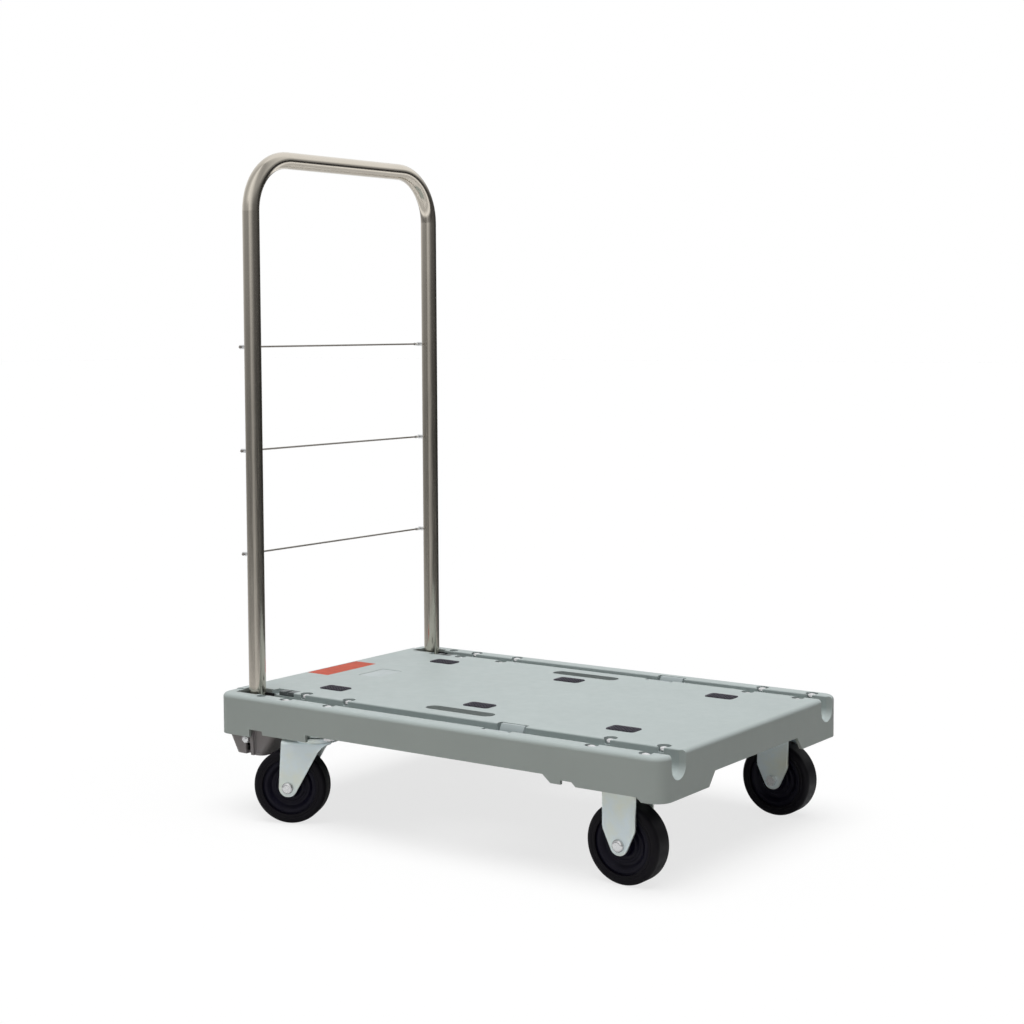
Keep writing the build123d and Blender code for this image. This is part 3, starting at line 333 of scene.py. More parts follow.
def polished_stainless(colours):
    """Stainless steel tube, polished along its length: sharp streaky reflections with a warm cast.
    The polishing lines are under 0.1 mm, so they are drawn 1.2 mm apart to show."""
    material, tree, shader, place = begin("polished_stainless_steel")
    drawn = add_node(tree, "ShaderNodeMapping", {"Vector": place, "Scale": (1.0, 1.0, 0.02)})
    lines = add_node(tree, "ShaderNodeTexNoise", {
        "Vector": drawn.outputs["Vector"], "Scale": 1 / (1.2 * MM), "Detail": 4.0})
    cloud = add_node(tree, "ShaderNodeTexNoise", {"Vector": place, "Scale": 1 / (45 * MM), "Detail": 3.0})
    tone = add_node(tree, "ShaderNodeValToRGB", {"Fac": cloud.outputs["Fac"]},
                    stops=((0.0, shade(colours.tube, 0.92)), (1.0, shade(colours.tube, 1.05))))
    sheen = add_node(tree, "ShaderNodeMapRange", {
        "Value": lines.outputs["Fac"], "From Min": 0.3, "From Max": 0.7, "To Min": 0.1, "To Max": 0.2})
    bump = add_node(tree, "ShaderNodeBump", {
        "Height": lines.outputs["Fac"], "Strength": 0.08, "Distance": 0.02 * MM})
    feed(shader, {"Base Color": tone.outputs["Color"], "Roughness": sheen.outputs["Result"], "Metallic": 1.0,
                  "Normal": bump.outputs["Normal"]})
    return material


def drawn_wire(colours):
    """Drawn steel wire: grey and half dull, with faint die lines along Y.
    The die lines are under 0.1 mm, so they are drawn 0.8 mm apart to show."""
    material, tree, shader, place = begin("drawn_steel_wire")
    drawn = add_node(tree, "ShaderNodeMapping", {"Vector": place, "Scale": (1.0, 0.05, 1.0)})
    lines = add_node(tree, "ShaderNodeTexNoise", {
        "Vector": drawn.outputs["Vector"], "Scale": 1 / (0.8 * MM), "Detail": 3.0})
    tone = add_node(tree, "ShaderNodeValToRGB", {"Fac": lines.outputs["Fac"]},
                    stops=((0.0, shade(colours.wire, 0.8)), (1.0, shade(colours.wire, 1.15))))
    feed(shader, {"Base Color": tone.outputs["Color"], "Roughness": 0.32, "Metallic": 1.0})
    return material


def zinc_plate(colours):
    """Zinc plated and passivated sheet: a bluish white satin metal with yellow green clouds."""
    material, tree, shader, place = begin("zinc_plated_steel")
    cloud = add_node(tree, "ShaderNodeTexNoise", {"Vector": place, "Scale": 1 / (32 * MM), "Detail": 5.0})
    tone = add_node(tree, "ShaderNodeValToRGB", {"Fac": cloud.outputs["Fac"]},
                    stops=((0.38, shade(colours.zinc, 0.96)), (0.72, shade(colours.passivate, 1.0))))
    satin = add_node(tree, "ShaderNodeTexNoise", {"Vector": place, "Scale": 1 / (5 * MM), "Detail": 6.0})
    sheen = add_node(tree, "ShaderNodeMapRange", {
        "Value": satin.outputs["Fac"], "From Min": 0.3, "From Max": 0.7, "To Min": 0.36, "To Max": 0.5})
    bump = add_node(tree, "ShaderNodeBump", {
        "Height": satin.outputs["Fac"], "Strength": 0.15, "Distance": 0.03 * MM})
    feed(shader, {"Base Color": tone.outputs["Color"], "Roughness": sheen.outputs["Result"], "Metallic": 0.5,
                  "Normal": bump.outputs["Normal"]})
    return material


def bright_plate(colours):
    """Bright plated steel: a clean mirror with fine wear."""
    material, tree, shader, place = begin("bright_plated_steel")
    wear = add_node(tree, "ShaderNodeTexNoise", {"Vector": place, "Scale": 1 / (2.5 * MM), "Detail": 5.0})
    tone = add_node(tree, "ShaderNodeValToRGB", {"Fac": wear.outputs["Fac"]},
                    stops=((0.0, shade(colours.bright, 0.85)), (1.0, shade(colours.bright, 1.05))))
    sheen = add_node(tree, "ShaderNodeMapRange", {
        "Value": wear.outputs["Fac"], "From Min": 0.3, "From Max": 0.7, "To Min": 0.16, "To Max": 0.3})
    feed(shader, {"Base Color": tone.outputs["Color"], "Roughness": sheen.outputs["Result"], "Metallic": 1.0})
    return material


FINISHES = {
    "deck_resin": deck_polypropylene,
    "clip_plastic": clip_acetal,
    "dark_plastic": housing_nylon,
    "slider_plastic": slider_nylon,
    "pad_rubber": pad_rubber,
    "tyre_rubber": tyre_rubber,
    "wheel_nylon": core_nylon,
    "panel_orange": panel_enamel,
    "polished_steel": polished_stainless,
    "wire_steel": drawn_wire,
    "zinc_steel": zinc_plate,
    "black_steel": powder_coat,
    "bright_fastener": bright_plate,
}
MADE_FINISHES = {}


def finish_of(slot):
    """The material of a slot, made the first time it is asked for."""
    if slot not in MADE_FINISHES:
        MADE_FINISHES[slot] = FINISHES[slot](bpy.context.scene.cart.colours)
    return MADE_FINISHES[slot]


# Modelling


def deselect():
    """Leaves edit mode and deselects every object."""
    if bpy.context.object and bpy.context.object.mode != "OBJECT":
        bpy.ops.object.mode_set(mode="OBJECT")
    bpy.ops.object.select_all(action="DESELECT")


def take(*pieces):
    """Selects these pieces alone; the last one is the active one."""
    deselect()
    for piece in pieces:
        piece.select_set(True)
        bpy.context.view_layer.objects.active = piece


def begin_piece(name, primitive, **settings):
    """Adds a primitive as the start of a piece and names it."""
    deselect()
    primitive(**settings)
    piece = bpy.context.object
    piece.name = name
    piece.data.name = name
    return piece


def place_points(piece, where):
    """Moves each point of a piece to where(point) says."""
    for vertex in piece.data.vertices:
        vertex.co = where(vertex.co)
    piece.data.update()


def pick(piece, kind, test):
    """In edit mode, selects the points, edges or faces for which test(element) holds."""
    bpy.ops.mesh.select_mode(type=kind)
    bpy.ops.mesh.select_all(action="DESELECT")
    mesh = bmesh.from_edit_mesh(piece.data)
    mesh.normal_update()
    for element in {"VERT": mesh.verts, "EDGE": mesh.edges, "FACE": mesh.faces}[kind]:
        if test(element):
            element.select_set(True)
    mesh.select_flush_mode()
    bmesh.update_edit_mesh(piece.data)


def edit(piece):
    """Opens a piece in edit mode with everything selected."""
    take(piece)
    bpy.ops.object.mode_set(mode="EDIT")
    bpy.ops.mesh.select_all(action="SELECT")


def close_shape():
    """In edit mode, merges double points and turns the faces outwards."""
    bpy.ops.mesh.select_all(action="SELECT")
    bpy.ops.mesh.remove_doubles(threshold=MERGE_REACH)
    bpy.ops.mesh.normals_make_consistent(inside=False)
    bpy.ops.object.mode_set(mode="OBJECT")


def modify(piece, kind, **settings):
    """Adds a modifier and applies it."""
    take(piece)
    modifier = piece.modifiers.new(kind.title(), kind)
    for key, value in settings.items():
        setattr(modifier, key, value)
    bpy.ops.object.modifier_apply(modifier=modifier.name)


def round_edges(piece, width, segments=2, angle=SHARP_TURN):
    """Rounds the edges that turn by more than the angle."""
    modify(piece, "BEVEL", width=width, segments=segments, limit_method="ANGLE",
           angle_limit=math.radians(angle), use_clamp_overlap=True, harden_normals=False)


def move_to(piece, matrix):
    """Puts a place into a piece's mesh and leaves its object at the origin."""
    piece.matrix_world = matrix
    take(piece)
    bpy.ops.object.transform_apply(location=True, rotation=True, scale=True)


def copy_of(piece, name):
    """A copy of a piece with a mesh of its own."""
    take(piece)
    bpy.ops.object.duplicate(linked=False)
    made = bpy.context.object
    made.name = name
    made.data.name = name
    return made


def discard(*pieces):
    """Deletes pieces that only served as patterns or cutters."""
    for piece in pieces:
        bpy.data.objects.remove(piece)


def mirrored(piece, name):
    """A copy of a right-hand piece for the left side."""
    made = copy_of(piece, name)
    move_to(made, Matrix.Scale(-1, 4, (0, 1, 0)))
    edit(made)
    bpy.ops.mesh.normals_make_consistent(inside=False)
    bpy.ops.object.mode_set(mode="OBJECT")
    return made


def joined(name, *pieces):
    """Joins pieces into one."""
    take(*reversed(pieces))
    bpy.ops.object.join()
    made = bpy.context.object
    made.name = name
    made.data.name = name
    return made


def settle(piece, body, slot, *nodes, angle=SHARP_TURN, finish=None):
    """Smooths a finished piece, gives it its finish, and sets it on its body in place of CAD nodes."""
    take(piece)
    bpy.ops.object.shade_smooth_by_angle(angle=math.radians(angle))
    piece.data.materials.clear()
    piece.data.materials.append(finish_of(finish or slot))
    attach(piece, body)
    if nodes:
        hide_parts(*nodes)


def settle_copy(pattern, name, matrix, body, slot, node, angle=SHARP_TURN):
    """Settles a copy of a pattern piece at a frame, in place of a CAD node."""
    made = copy_of(pattern, name)
    move_to(made, matrix)
    settle(made, body, slot, node, angle=angle)


def settle_pair(piece, slot, node):
    """Settles a moulded right-hand piece on the chassis, and its mirror image on the left."""
    other = mirrored(piece, f"{node}_moulded_left")
    settle(piece, "chassis", slot, f"{node}_right")
    settle(other, "chassis", slot, f"{node}_left")


def joined_copies(name, pattern, frames):
    """Copies of a pattern piece at all the frames, joined into one piece; the pattern is deleted."""
    copies = []
    for matrix in frames:
        made = copy_of(pattern, name)
        move_to(made, matrix)
        copies.append(made)
    discard(pattern)
    return joined(name, *copies)


def metres(points):
    """Points in millimetres, as metres."""
    return [(first * MM, second * MM) for first, second in points]


def arc(centre, radius, start, end, steps):
    """Points on an arc, with its angles in degrees."""
    turns = [math.radians(start + (end - start) * i / steps) for i in range(steps + 1)]
    return [(centre[0] + radius * math.cos(turn), centre[1] + radius * math.sin(turn)) for turn in turns]


def two_sided(face, *middle):
    """A lathe profile of (radius, y) points: a face, points in the middle, and the face mirrored in y."""
    return [*face, *middle, *[(radius, -y) for radius, y in reversed(face)]]


def lathed(name, profile, steps):
    """A shape turned about the Y axis from a closed profile of (radius, y) points."""
    piece = begin_piece(name, bpy.ops.mesh.primitive_circle_add, vertices=len(profile), radius=1)
    for vertex, (radius, y) in zip(piece.data.vertices, profile):
        vertex.co = (radius, y, 0)
    edit(piece)
    bpy.ops.mesh.spin(steps=steps, angle=2 * math.pi, center=(0, 0, 0), axis=(0, 1, 0))
    close_shape()
    return piece


def extruded(name, outline, depth):
    """A flat outline of (x, z) points in the plane y = 0, extruded along +Y."""
    piece = begin_piece(name, bpy.ops.mesh.primitive_circle_add, vertices=len(outline), radius=1,
                        fill_type="NGON")
    for vertex, (x, z) in zip(piece.data.vertices, outline):
        vertex.co = (x, 0, z)
    edit(piece)
    bpy.ops.mesh.extrude_region_move(TRANSFORM_OT_translate={"value": (0, depth, 0)})
    close_shape()
    return piece


def tapered_block(name, upper, lower, corner):
    """A block with round upright corners between two rectangles, in mm.
    Each rectangle is (lowest x, highest x, lowest y, highest y, z)."""
    block = begin_piece(name, bpy.ops.mesh.primitive_cube_add, size=1)

    def where(point):
        x_low, x_high, y_low, y_high, z = upper if point.z > 0 else lower
        return Vector((x_low if point.x < 0 else x_high, y_low if point.y < 0 else y_high, z)) * MM

    place_points(block, where)
    edit(block)
    pick(block, "EDGE", lambda edge: abs(edge.verts[0].co.z - edge.verts[1].co.z) > UPRIGHT_EDGE)
    bpy.ops.mesh.bevel(offset=corner * MM, segments=CORNER_STEPS, affect="EDGES")
    close_shape()
    return block


def cut(piece, cutter):
    """Takes one piece out of another."""
    modify(piece, "BOOLEAN", object=cutter, operation="DIFFERENCE", solver="EXACT")
    discard(cutter)


def softened(node, name, width):
    """A copy of a CAD node, merged into whole faces, with its edges rounded."""
    piece = bpy.data.objects.new(name, frame["nodes"][node].data.copy())
    bpy.context.collection.objects.link(piece)
    edit(piece)
    bpy.ops.mesh.remove_doubles(threshold=MERGE_REACH)
    bpy.ops.mesh.dissolve_limited(angle_limit=FLAT_TURN)
    bpy.ops.object.mode_set(mode="OBJECT")
    round_edges(piece, width)
    return piece


def folded_sheet(name, rows, thickness, columns=10):
    """A strip of sheet that follows rows of (y, z, lowest x, highest x), with its real thickness."""
    piece = begin_piece(name, bpy.ops.mesh.primitive_grid_add, x_subdivisions=columns,
                        y_subdivisions=len(rows) - 1, size=1)

    def where(point):
        y, z, low, high = rows[round((point.y + 0.5) * (len(rows) - 1))]
        return Vector((low + (high - low) * (point.x + 0.5), y, z))

    place_points(piece, where)
    edit(piece)
    close_shape()
    modify(piece, "SOLIDIFY", thickness=thickness, offset=0, use_even_offset=True)
    edit(piece)
    close_shape()
    return piece


# Pieces


def swivel_frame(side):
    """Frame of a rear caster on its swivel axis at floor level, turned as in the photograph."""
    return Matrix.Translation((SWIVEL_X, side * TRACK, 0)) @ Matrix.Rotation(-side * SWIVEL_TURN, 4, "Z")


def wheel_frames():
    """Name of each wheel's place and the frame at its middle."""
    for side_name, side in SIDES.items():
        yield f"front_{side_name}", Matrix.Translation((FRONT_X, side * TRACK, WHEEL_RADIUS))
        yield f"rear_{side_name}", swivel_frame(side) @ Matrix.Translation((-TRAIL, 0, WHEEL_RADIUS))


class CART_OT_wheels(Operator):
    """Models the tyres and the moulded wheel cores with their rings"""

    bl_idname = "cart.wheels"
    bl_label = "Wheels"

    def execute(self, context):
        sizes = context.scene.cart.sizes
        ring = sizes.ring_step / MM
        tyre_round, core_round, ring_turn, smooth_turn = 0.35 * MM, 0.45 * MM, 20, 30

        # Profiles as (radius, y) from the wheel's middle, in mm
        tread, half, shoulder, lip, land = WHEEL_RADIUS / MM, 16.5, 6.5, 0.6, 1
        groove = half - 0.6 * ring
        side = [(39, half - lip), (40.2, half), (42.2, half), (42.6, groove), (43.4, groove), (43.8, half)]
        side += arc((tread - shoulder, half - shoulder), shoulder, 88, 4, SHOULDER_STEPS)
        side += [(tread, half - shoulder - land)]
        tyre = lathed("tyre", metres(two_sided(side, (tread, 0))), sizes.wheel_steps)
        round_edges(tyre, tyre_round, angle=ring_turn)

        bore, hub, web, rim, slope = 7.06, 19.4, 8.2, 14, 1
        raised, sunk = web + ring, rim - 0.5
        face = [(bore, hub), (12.6, hub), (14, hub - 1.4), (15.6, web + slope), (17, web), (20.4, web)]
        face += [(20.9, raised), (23.4, raised), (24, web), (27.4, web), (28.6, web + slope)]
        face += [(32.2, rim - 0.6), (33.2, rim), (36.6, rim), (37, sunk), (38.9, sunk)]
        core = lathed("core", metres(two_sided(face)), sizes.wheel_steps)
        round_edges(core, core_round, angle=ring_turn)

        for place, matrix in wheel_frames():
            for pattern, kind, slot in ((tyre, "tyre", "tyre_rubber"), (core, "wheel_core", "wheel_nylon")):
                settle_copy(pattern, f"{kind}_shaped_{place}", matrix, f"wheel_{place}", slot,
                            f"{kind}_{place}", angle=smooth_turn)
        discard(tyre, core)
        return {"FINISHED"}


class CART_OT_grip_pads(Operator):
    """Models the grip pads with a rim and rows of low studs"""

    bl_idname = "cart.grip_pads"
    bl_label = "Grip pads"

    def execute(self, context):
        pitch = context.scene.cart.sizes.grip_pitch
        low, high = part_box("grip_pad_middle_right")
        length, width, depth = (high - low) / MM
        corner, rim, sunk, edge = 5, 2, 0.9, 0.3
        outline = (-length / 2, length / 2, -width / 2, width / 2)
        pad = tapered_block("pad", (*outline, 0), (*outline, -depth), corner)
        edit(pad)
        pick(pad, "FACE", lambda face: face.normal.z > TOP_NORMAL)
        bpy.ops.mesh.inset(thickness=rim * MM)
        bpy.ops.transform.translate(value=(0, 0, -sunk * MM))
        close_shape()
        round_edges(pad, edge * MM)

        base, tip, root = 0.74 * pitch, 0.5 * pitch, -1.1 * MM

        def stud_point(point):
            share, z = (base, root) if point.z < 0 else (tip, 0)
            return Vector((point.x * share, point.y * share, z))

        stud = begin_piece("stud", bpy.ops.mesh.primitive_cube_add, size=1)
        place_points(stud, stud_point)
        count_x = int((length - 2 * rim) * MM / pitch)
        count_y = int((width - 2 * rim) * MM / pitch)
        frames = []
        for column, row in product(range(count_x), range(count_y)):
            x = (column - (count_x - 1) / 2) * pitch
            y = (row - (count_y - 1) / 2) * pitch
            in_corner = abs(x) > (length / 2 - corner) * MM and abs(y) > (width / 2 - corner) * MM
            if not in_corner:
                frames.append(Matrix.Translation((x, y, 0)))
        pad = joined("pad", pad, joined_copies("studs", stud, frames))

        for row, side_name in product(PAD_ROWS, SIDES):
            node = f"grip_pad_{row}_{side_name}"
            low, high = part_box(node)
            place = ((low.x + high.x) / 2, (low.y + high.y) / 2, high.z)
            settle_copy(pad, f"{node}_studded", Matrix.Translation(place), "chassis", "pad_rubber", node)
        discard(pad)
        return {"FINISHED"}


def fork_rows(top, bend, edges):
    """Rows of a folded fork from one round tip over its crown to the other tip.
    edges(z) gives the lowest and highest x of the plates."""
    tip_turns = [math.radians(90 * i / TIP_STEPS) for i in range(1, TIP_STEPS + 1)]
    bend_turns = [math.radians(90 * i / BEND_STEPS) for i in range(1, BEND_STEPS + 1)]
    straight = top - bend - WHEEL_RADIUS
    leg = [(-FORK_HALF, WHEEL_RADIUS - FORK_TIP * math.cos(turn)) for turn in tip_turns]
    leg += [(-FORK_HALF, WHEEL_RADIUS + straight * i / LEG_STEPS) for i in range(1, LEG_STEPS + 1)]
    leg += [(-FORK_HALF + bend - bend * math.cos(turn), top - bend + bend * math.sin(turn))
            for turn in bend_turns]
    far = [(-y, z) for y, z in reversed(leg)]
    return [(y, z, *edges(z)) for y, z in leg + far]


def tangent(corner, centre, radius, turn):
    """Point where a line from an outer corner touches a circle."""
    offset = Vector(corner) - Vector(centre)
    spread = math.acos(radius / offset.length)
    angle = math.atan2(offset.y, offset.x) + turn * spread
    return centre[0] + radius * math.cos(angle), centre[1] + radius * math.sin(angle)


def plate_edge(tip, turn, *corners):
    """Gives x at a height on one edge of a fork plate: round the tip, then straight from corner to corner."""
    points = [tangent(corners[0], tip, FORK_TIP, turn), *corners]

    def at(z):
        if z <= points[0][1]:
            return tip[0] - turn * math.sqrt(max(0.0, FORK_TIP ** 2 - (z - tip[1]) ** 2))
        for (x_low, z_low), (x_high, z_high) in zip(points, points[1:]):
            if z <= z_high:
                return x_low + (x_high - x_low) * (z - z_low) / (z_high - z_low)
        return points[-1][0]
    return at


class CART_OT_fixed_brackets(Operator):
    """Models the front caster brackets as folded sheet under a rounded plate"""

    bl_idname = "cart.fixed_brackets"
    bl_label = "Front brackets"

    def execute(self, context):
        sizes = context.scene.cart.sizes
        shoulder = [(22.1, 68.4), (23.3, 71.4), (23.75, 75)]
        edge = plate_edge((0, WHEEL_RADIUS), -1, *metres(shoulder))
        crown = PLATE_SEAT - PLATE_SHEET - FORK_SHEET / 2
        rows = fork_rows(crown, sizes.sheet_bend, lambda z: (-edge(z), edge(z)))
        fork = folded_sheet("fork", rows, FORK_SHEET)
        outline = (-50, 50, -33, 33)
        top, corner = PLATE_SEAT / MM, 8
        plate = tapered_block("plate", (*outline, top), (*outline, top - PLATE_SHEET / MM), corner)
        bracket = joined("bracket", fork, plate)
        round_edges(bracket, sizes.sheet_round, angle=SHEET_TURN)
        for side_name, side in SIDES.items():
            place = Matrix.Translation((FRONT_X, side * TRACK, 0))
            settle_copy(bracket, f"fixed_bracket_folded_{side_name}", place, "chassis", "zinc_steel",
                        f"fixed_bracket_{side_name}")
        discard(bracket)
        return {"FINISHED"}


class CART_OT_swivel_forks(Operator):
    """Models the rear swivel forks as folded sheet with a pressed crown"""

    bl_idname = "cart.swivel_forks"
    bl_label = "Rear forks"

    def execute(self, context):
        sizes = context.scene.cart.sizes
        crown = 119.4
        heel = (-46.5, crown)
        flare = [(2.5, 97), (6.2, 103), (10.2, 108), (14.6, 111.6), (19.2, 114), (24, 115.6)]
        tip = (-TRAIL, WHEEL_RADIUS)
        rear = plate_edge(tip, 1, *metres([heel]))
        front = plate_edge(tip, -1, *metres(flare))
        rows = fork_rows(crown * MM - FORK_SHEET / 2, sizes.sheet_bend, lambda z: (rear(z), front(z)))
        fork = folded_sheet("fork", rows, FORK_SHEET)

        # The cup of the ball race, as (radius, height) in mm
        pin, radius, wall, bend, lip = 6.06, 33, 2, 5, crown + 4.5
        under = crown - 3.5
        cup = [(pin, under), *arc((radius - bend, under + bend), bend, -90, 0, BEND_STEPS)]
        cup += [(radius, lip), (radius - wall, lip), (radius - wall, crown), (pin, crown)]
        race = lathed("race", metres(cup), RACE_STEPS)
        move_to(race, UPRIGHT)
        fork = joined("fork", fork, race)
        round_edges(fork, sizes.sheet_round, angle=SHEET_TURN)
        for side_name, side in SIDES.items():
            settle_copy(fork, f"swivel_fork_folded_{side_name}", swivel_frame(side), f"swivel_{side_name}",
                        "zinc_steel", f"swivel_fork_{side_name}")
        discard(fork)
        return {"FINISHED"}


class CART_OT_clips(Operator):
    """Models the snap clips across the grooves"""

    bl_idname = "cart.clips"
    bl_label = "Snap clips"

    def execute(self, context):
        low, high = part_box("handle_clip_right")
        length = high.x - low.x
        half, base, top = (high.y - low.y) / 2 / MM, low.z / MM, high.z / MM

        # The arm by the rail is lower than the one by the deck, and both open towards their tops
        axis, grip, arms, rail_top = 156, 12.4, 164.5, top - 1
        outline = [(-half, base), (half, base), (half, top), (17.4, top), (grip, arms)]
        outline += arc((0, axis), grip, 0, -180, GRIP_STEPS)
        outline += [(-grip, arms), (-16.8, rail_top), (-half, rail_top)]
        clip = extruded("handle_clip_moulded_right", metres(outline), length)
        hole_low, hole_high, hole_depth, hole_middle = 2.1 * MM, 4.1 * MM, 4 * MM, 1.7 * MM
        hole = begin_piece("screw_hole", bpy.ops.mesh.primitive_cone_add, vertices=HOLE_STEPS,
                           radius1=hole_low, radius2=hole_high, depth=hole_depth)
        move_to(hole, Matrix.Translation((0, length / 2, low.z + hole_middle)))
        cut(clip, hole)
        round_edges(clip, context.scene.cart.sizes.edge_round)
        move_to(clip, Matrix.Translation((high.x, -TRACK, 0)) @ Matrix.Rotation(math.pi / 2, 4, "Z"))
        settle_pair(clip, "clip_plastic", "handle_clip")
        return {"FINISHED"}


class CART_OT_housings(Operator):
    """Models the corner housings with their slot, post and sunk panel"""

    bl_idname = "cart.housings"
    bl_label = "Corner housings"

    def execute(self, context):
        # Upper and lower rectangle of each form, and the radius of its upright corners, in mm
        shell = (-364, -262, -230, -171, 127), (-345, -293, -227, -174, 87), 9
        hollow = (-358, -265.5, -226.5, -174.5, 128), (-339, -297, -223.5, -177.5, 91), 6
        slot = (-324, -313.2, -236, -220, 103.5), (-324, -313.2, -236, -220, 84), 1.5
        sunk_panel = (-305.5, -279, -236, -227.4, 124), (-305.5, -298, -236, -225.3, 91), 1.5
        post = (-313, -306.4, -233.4, -227, 126.5), (-312.8, -306.8, -230.6, -224.5, 87.2), 1.4

        housing = tapered_block("housing", *shell)
        for name, form in (("hollow", hollow), ("slot", slot), ("sunk_panel", sunk_panel)):
            cut(housing, tapered_block(name, *form))
        round_edges(housing, FINE_ROUND)
        upright = tapered_block("post", *post)
        round_edges(upright, FINE_ROUND)
        housing = joined("corner_housing_moulded_right", housing, upright)
        settle_pair(housing, "dark_plastic", "corner_housing")
        return {"FINISHED"}


class CART_OT_lock_sliders(Operator):
    """Rounds the edges of the lock sliders"""

    bl_idname = "cart.lock_sliders"
    bl_label = "Lock sliders"

    def execute(self, context):
        for side_name in SIDES:
            node = f"lock_slider_{side_name}"
            slider = softened(node, f"{node}_moulded", FINE_ROUND)
            settle(slider, f"lock_{side_name}", "dark_plastic", node, finish="slider_plastic")
        return {"FINISHED"}


class CART_OT_caster_bolts(Operator):
    """Models the caster bolts with their domed heads"""

    bl_idname = "cart.caster_bolts"
    bl_label = "Caster bolts"

    def execute(self, context):
        # Profile as (radius, height above the head's seat), in mm
        seat = DECK_TOP - 7 * MM
        end = (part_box("caster_bolts")[0].z - seat) / MM
        head, rim, dome, dome_steps, shank, chamfer = 7, 2.2, 3.9, 6, 4, 0.6
        profile = [(0, end), (shank - chamfer, end), (shank, end + chamfer), (shank, 0), (head, 0)]
        profile += [(x * head, rim + y * dome) for x, y in arc((0, 0), 1, 0, 90, dome_steps)[:-1]]
        profile += [(0, rim + dome)]
        bolt = lathed("bolt", metres(profile), SMALL_STEPS)
        edit(bolt)
        bpy.ops.mesh.delete_loose()
        bpy.ops.object.mode_set(mode="OBJECT")

        frames = []
        for caster_x, side, end_x, edge in product((FRONT_X, SWIVEL_X), SIDES.values(), (-1, 1), (-1, 1)):
            place = (caster_x + end_x * BOLT_PITCH_X / 2, side * TRACK + edge * BOLT_PITCH_Y / 2, seat)
            frames.append(Matrix.Translation(place) @ UPRIGHT)
        bolts = joined_copies("caster_bolts_domed", bolt, frames)
        settle(bolts, "chassis", "bright_fastener", "caster_bolts")
        return {"FINISHED"}


class CART_OT_trims(Operator):
    """Models the plain plate in the recess and the ferrules on the wires"""

    bl_idname = "cart.trims"
    bl_label = "Plate and ferrules"

    def execute(self, context):
        outline, corner, edge = (-283.4, -247.6, -28.4, 28.4), 1.6, 0.15
        face, thickness = DECK_TOP / MM - 0.2, 0.6
        plate = tapered_block("recess_plate", (*outline, face), (*outline, face - thickness), corner)
        round_edges(plate, edge * MM)
        settle(plate, "chassis", "clip_plastic")

        # Profile as (radius, y) from the ferrule's middle, in mm
        profile = two_sided([(1.25, 4), (1.9, 4), (2.3, 3.4)])
        inset = 9 * MM
        ferrule = lathed("ferrule", metres(profile), SMALL_STEPS)
        frames = []
        for wire, side in product(WIRES, SIDES.values()):
            low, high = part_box(f"cross_wire_{wire}")
            place = ((low.x + high.x) / 2, side * (TRACK - inset), (low.z + high.z) / 2)
            frames.append(Matrix.Translation(place))
        settle(joined_copies("wire_ferrules", ferrule, frames), "handle", "bright_fastener")
        return {"FINISHED"}


class CART_OT_cad_finishes(Operator):
    """Gives every CAD node that stays in view the finish of its record slot"""

    bl_idname = "cart.cad_finishes"
    bl_label = "Finishes of the frame"

    def execute(self, context):
        for part in frame["record"]["subparts"]:
            node = frame["nodes"][part["node"]]
            if not node.hide_render:
                node.data.materials.clear()
                node.data.materials.append(finish_of(part["material_slot"]))
        return {"FINISHED"}


# Stage

# Brightness of the studio's walls by compass bearing in degrees, as polished metal shows them
WALL_LEVELS = (
    (-179, 0.33), (-160, 0.25), (-140, 0.19), (-112, 0.18), (-89, 0.16), (-75, 0.25), (-66, 0.38),
    (-54, 0.31), (-40, 0.23), (-28, 0.13), (-10, 0.075), (25, 0.06), (55, 0.035), (90, 0.02), (112, 0.06),
    (130, 0.37), (160, 0.44), (179, 0.33),
)

# Brightness of its ceiling by the same bearing
CEILING_LEVELS = (
    (-179, 0.8), (-145, 0.55), (-115, 0.7), (-85, 1.15), (-55, 0.95), (-25, 0.5), (10, 0.42), (40, 0.75),
    (60, 1.08), (125, 1.08), (150, 0.95), (179, 0.8),
)

# Bands of the studio by height, as the Z of a direction: where each starts and ends, its values at those
# heights and the kind of slope between them
ROOM_BANDS = {
    "wall_lift": (-0.05, 0.12, 1.0, 2.6, "LINEAR"),
    "low_lift": (-0.08, -0.17, 1.0, 1.5, "LINEAR"),
    "ceiling_share": (0.12, 0.45, 0.0, 1.0, "SMOOTHSTEP"),
    "ground_share": (-0.16, -0.25, 0.0, 1.0, "SMOOTHSTEP"),
    "ground": (-0.3, -0.42, 1.2, 0.66, "LINEAR"),
}
AMBIENT_LEVEL = 0.2
BACKDROP_LEVEL = 1.0

# The floor: its size and how far round the cart metal mirrors it, in metres, and its shades
FLOOR_SIZE = 60
MIRRORED_FULL, MIRRORED_END = 0.8, 1.2
MIRRORED_SHARE = 0.85
MIRRORED_PAPER = (0.86, 0.86, 0.86, 1)
BOUNCE_PAPER = (0.3, 0.282, 0.25, 1)
SHADOW_SHARE = 0.25
WHITE = (1, 1, 1, 1)

# The lamps: a wide soft sun nearly overhead and a low warm strip beside the cart
SUN_FROM = (0.03, -0.12, 1.0)
SUN_ENERGY = 2.55
SUN_SPREAD = math.radians(50)
STRIP_PLACE = (0.1, -3.0, 0.1)
STRIP_FROM = (0.0, -1.0, 0.0)
STRIP_SIZE = (3.0, 0.2)
STRIP_ENERGY = 8
STRIP_COLOUR = (1.0, 0.95, 0.86)

# The photograph's view: where the camera looks from, its roll, its place in metres and its lens in mm
VIEW_BEARING = math.radians(35.5)
VIEW_RISE = math.radians(3.8)
VIEW_ROLL = math.radians(-0.3)
CAMERA_PLACE = (1.5059, -2.1419, 0.6880)
CAMERA_LENS = 65.99
CAMERA_SENSOR = 36
CAMERA_SHIFT_Y = -0.0595
CAMERA_REACH = 100


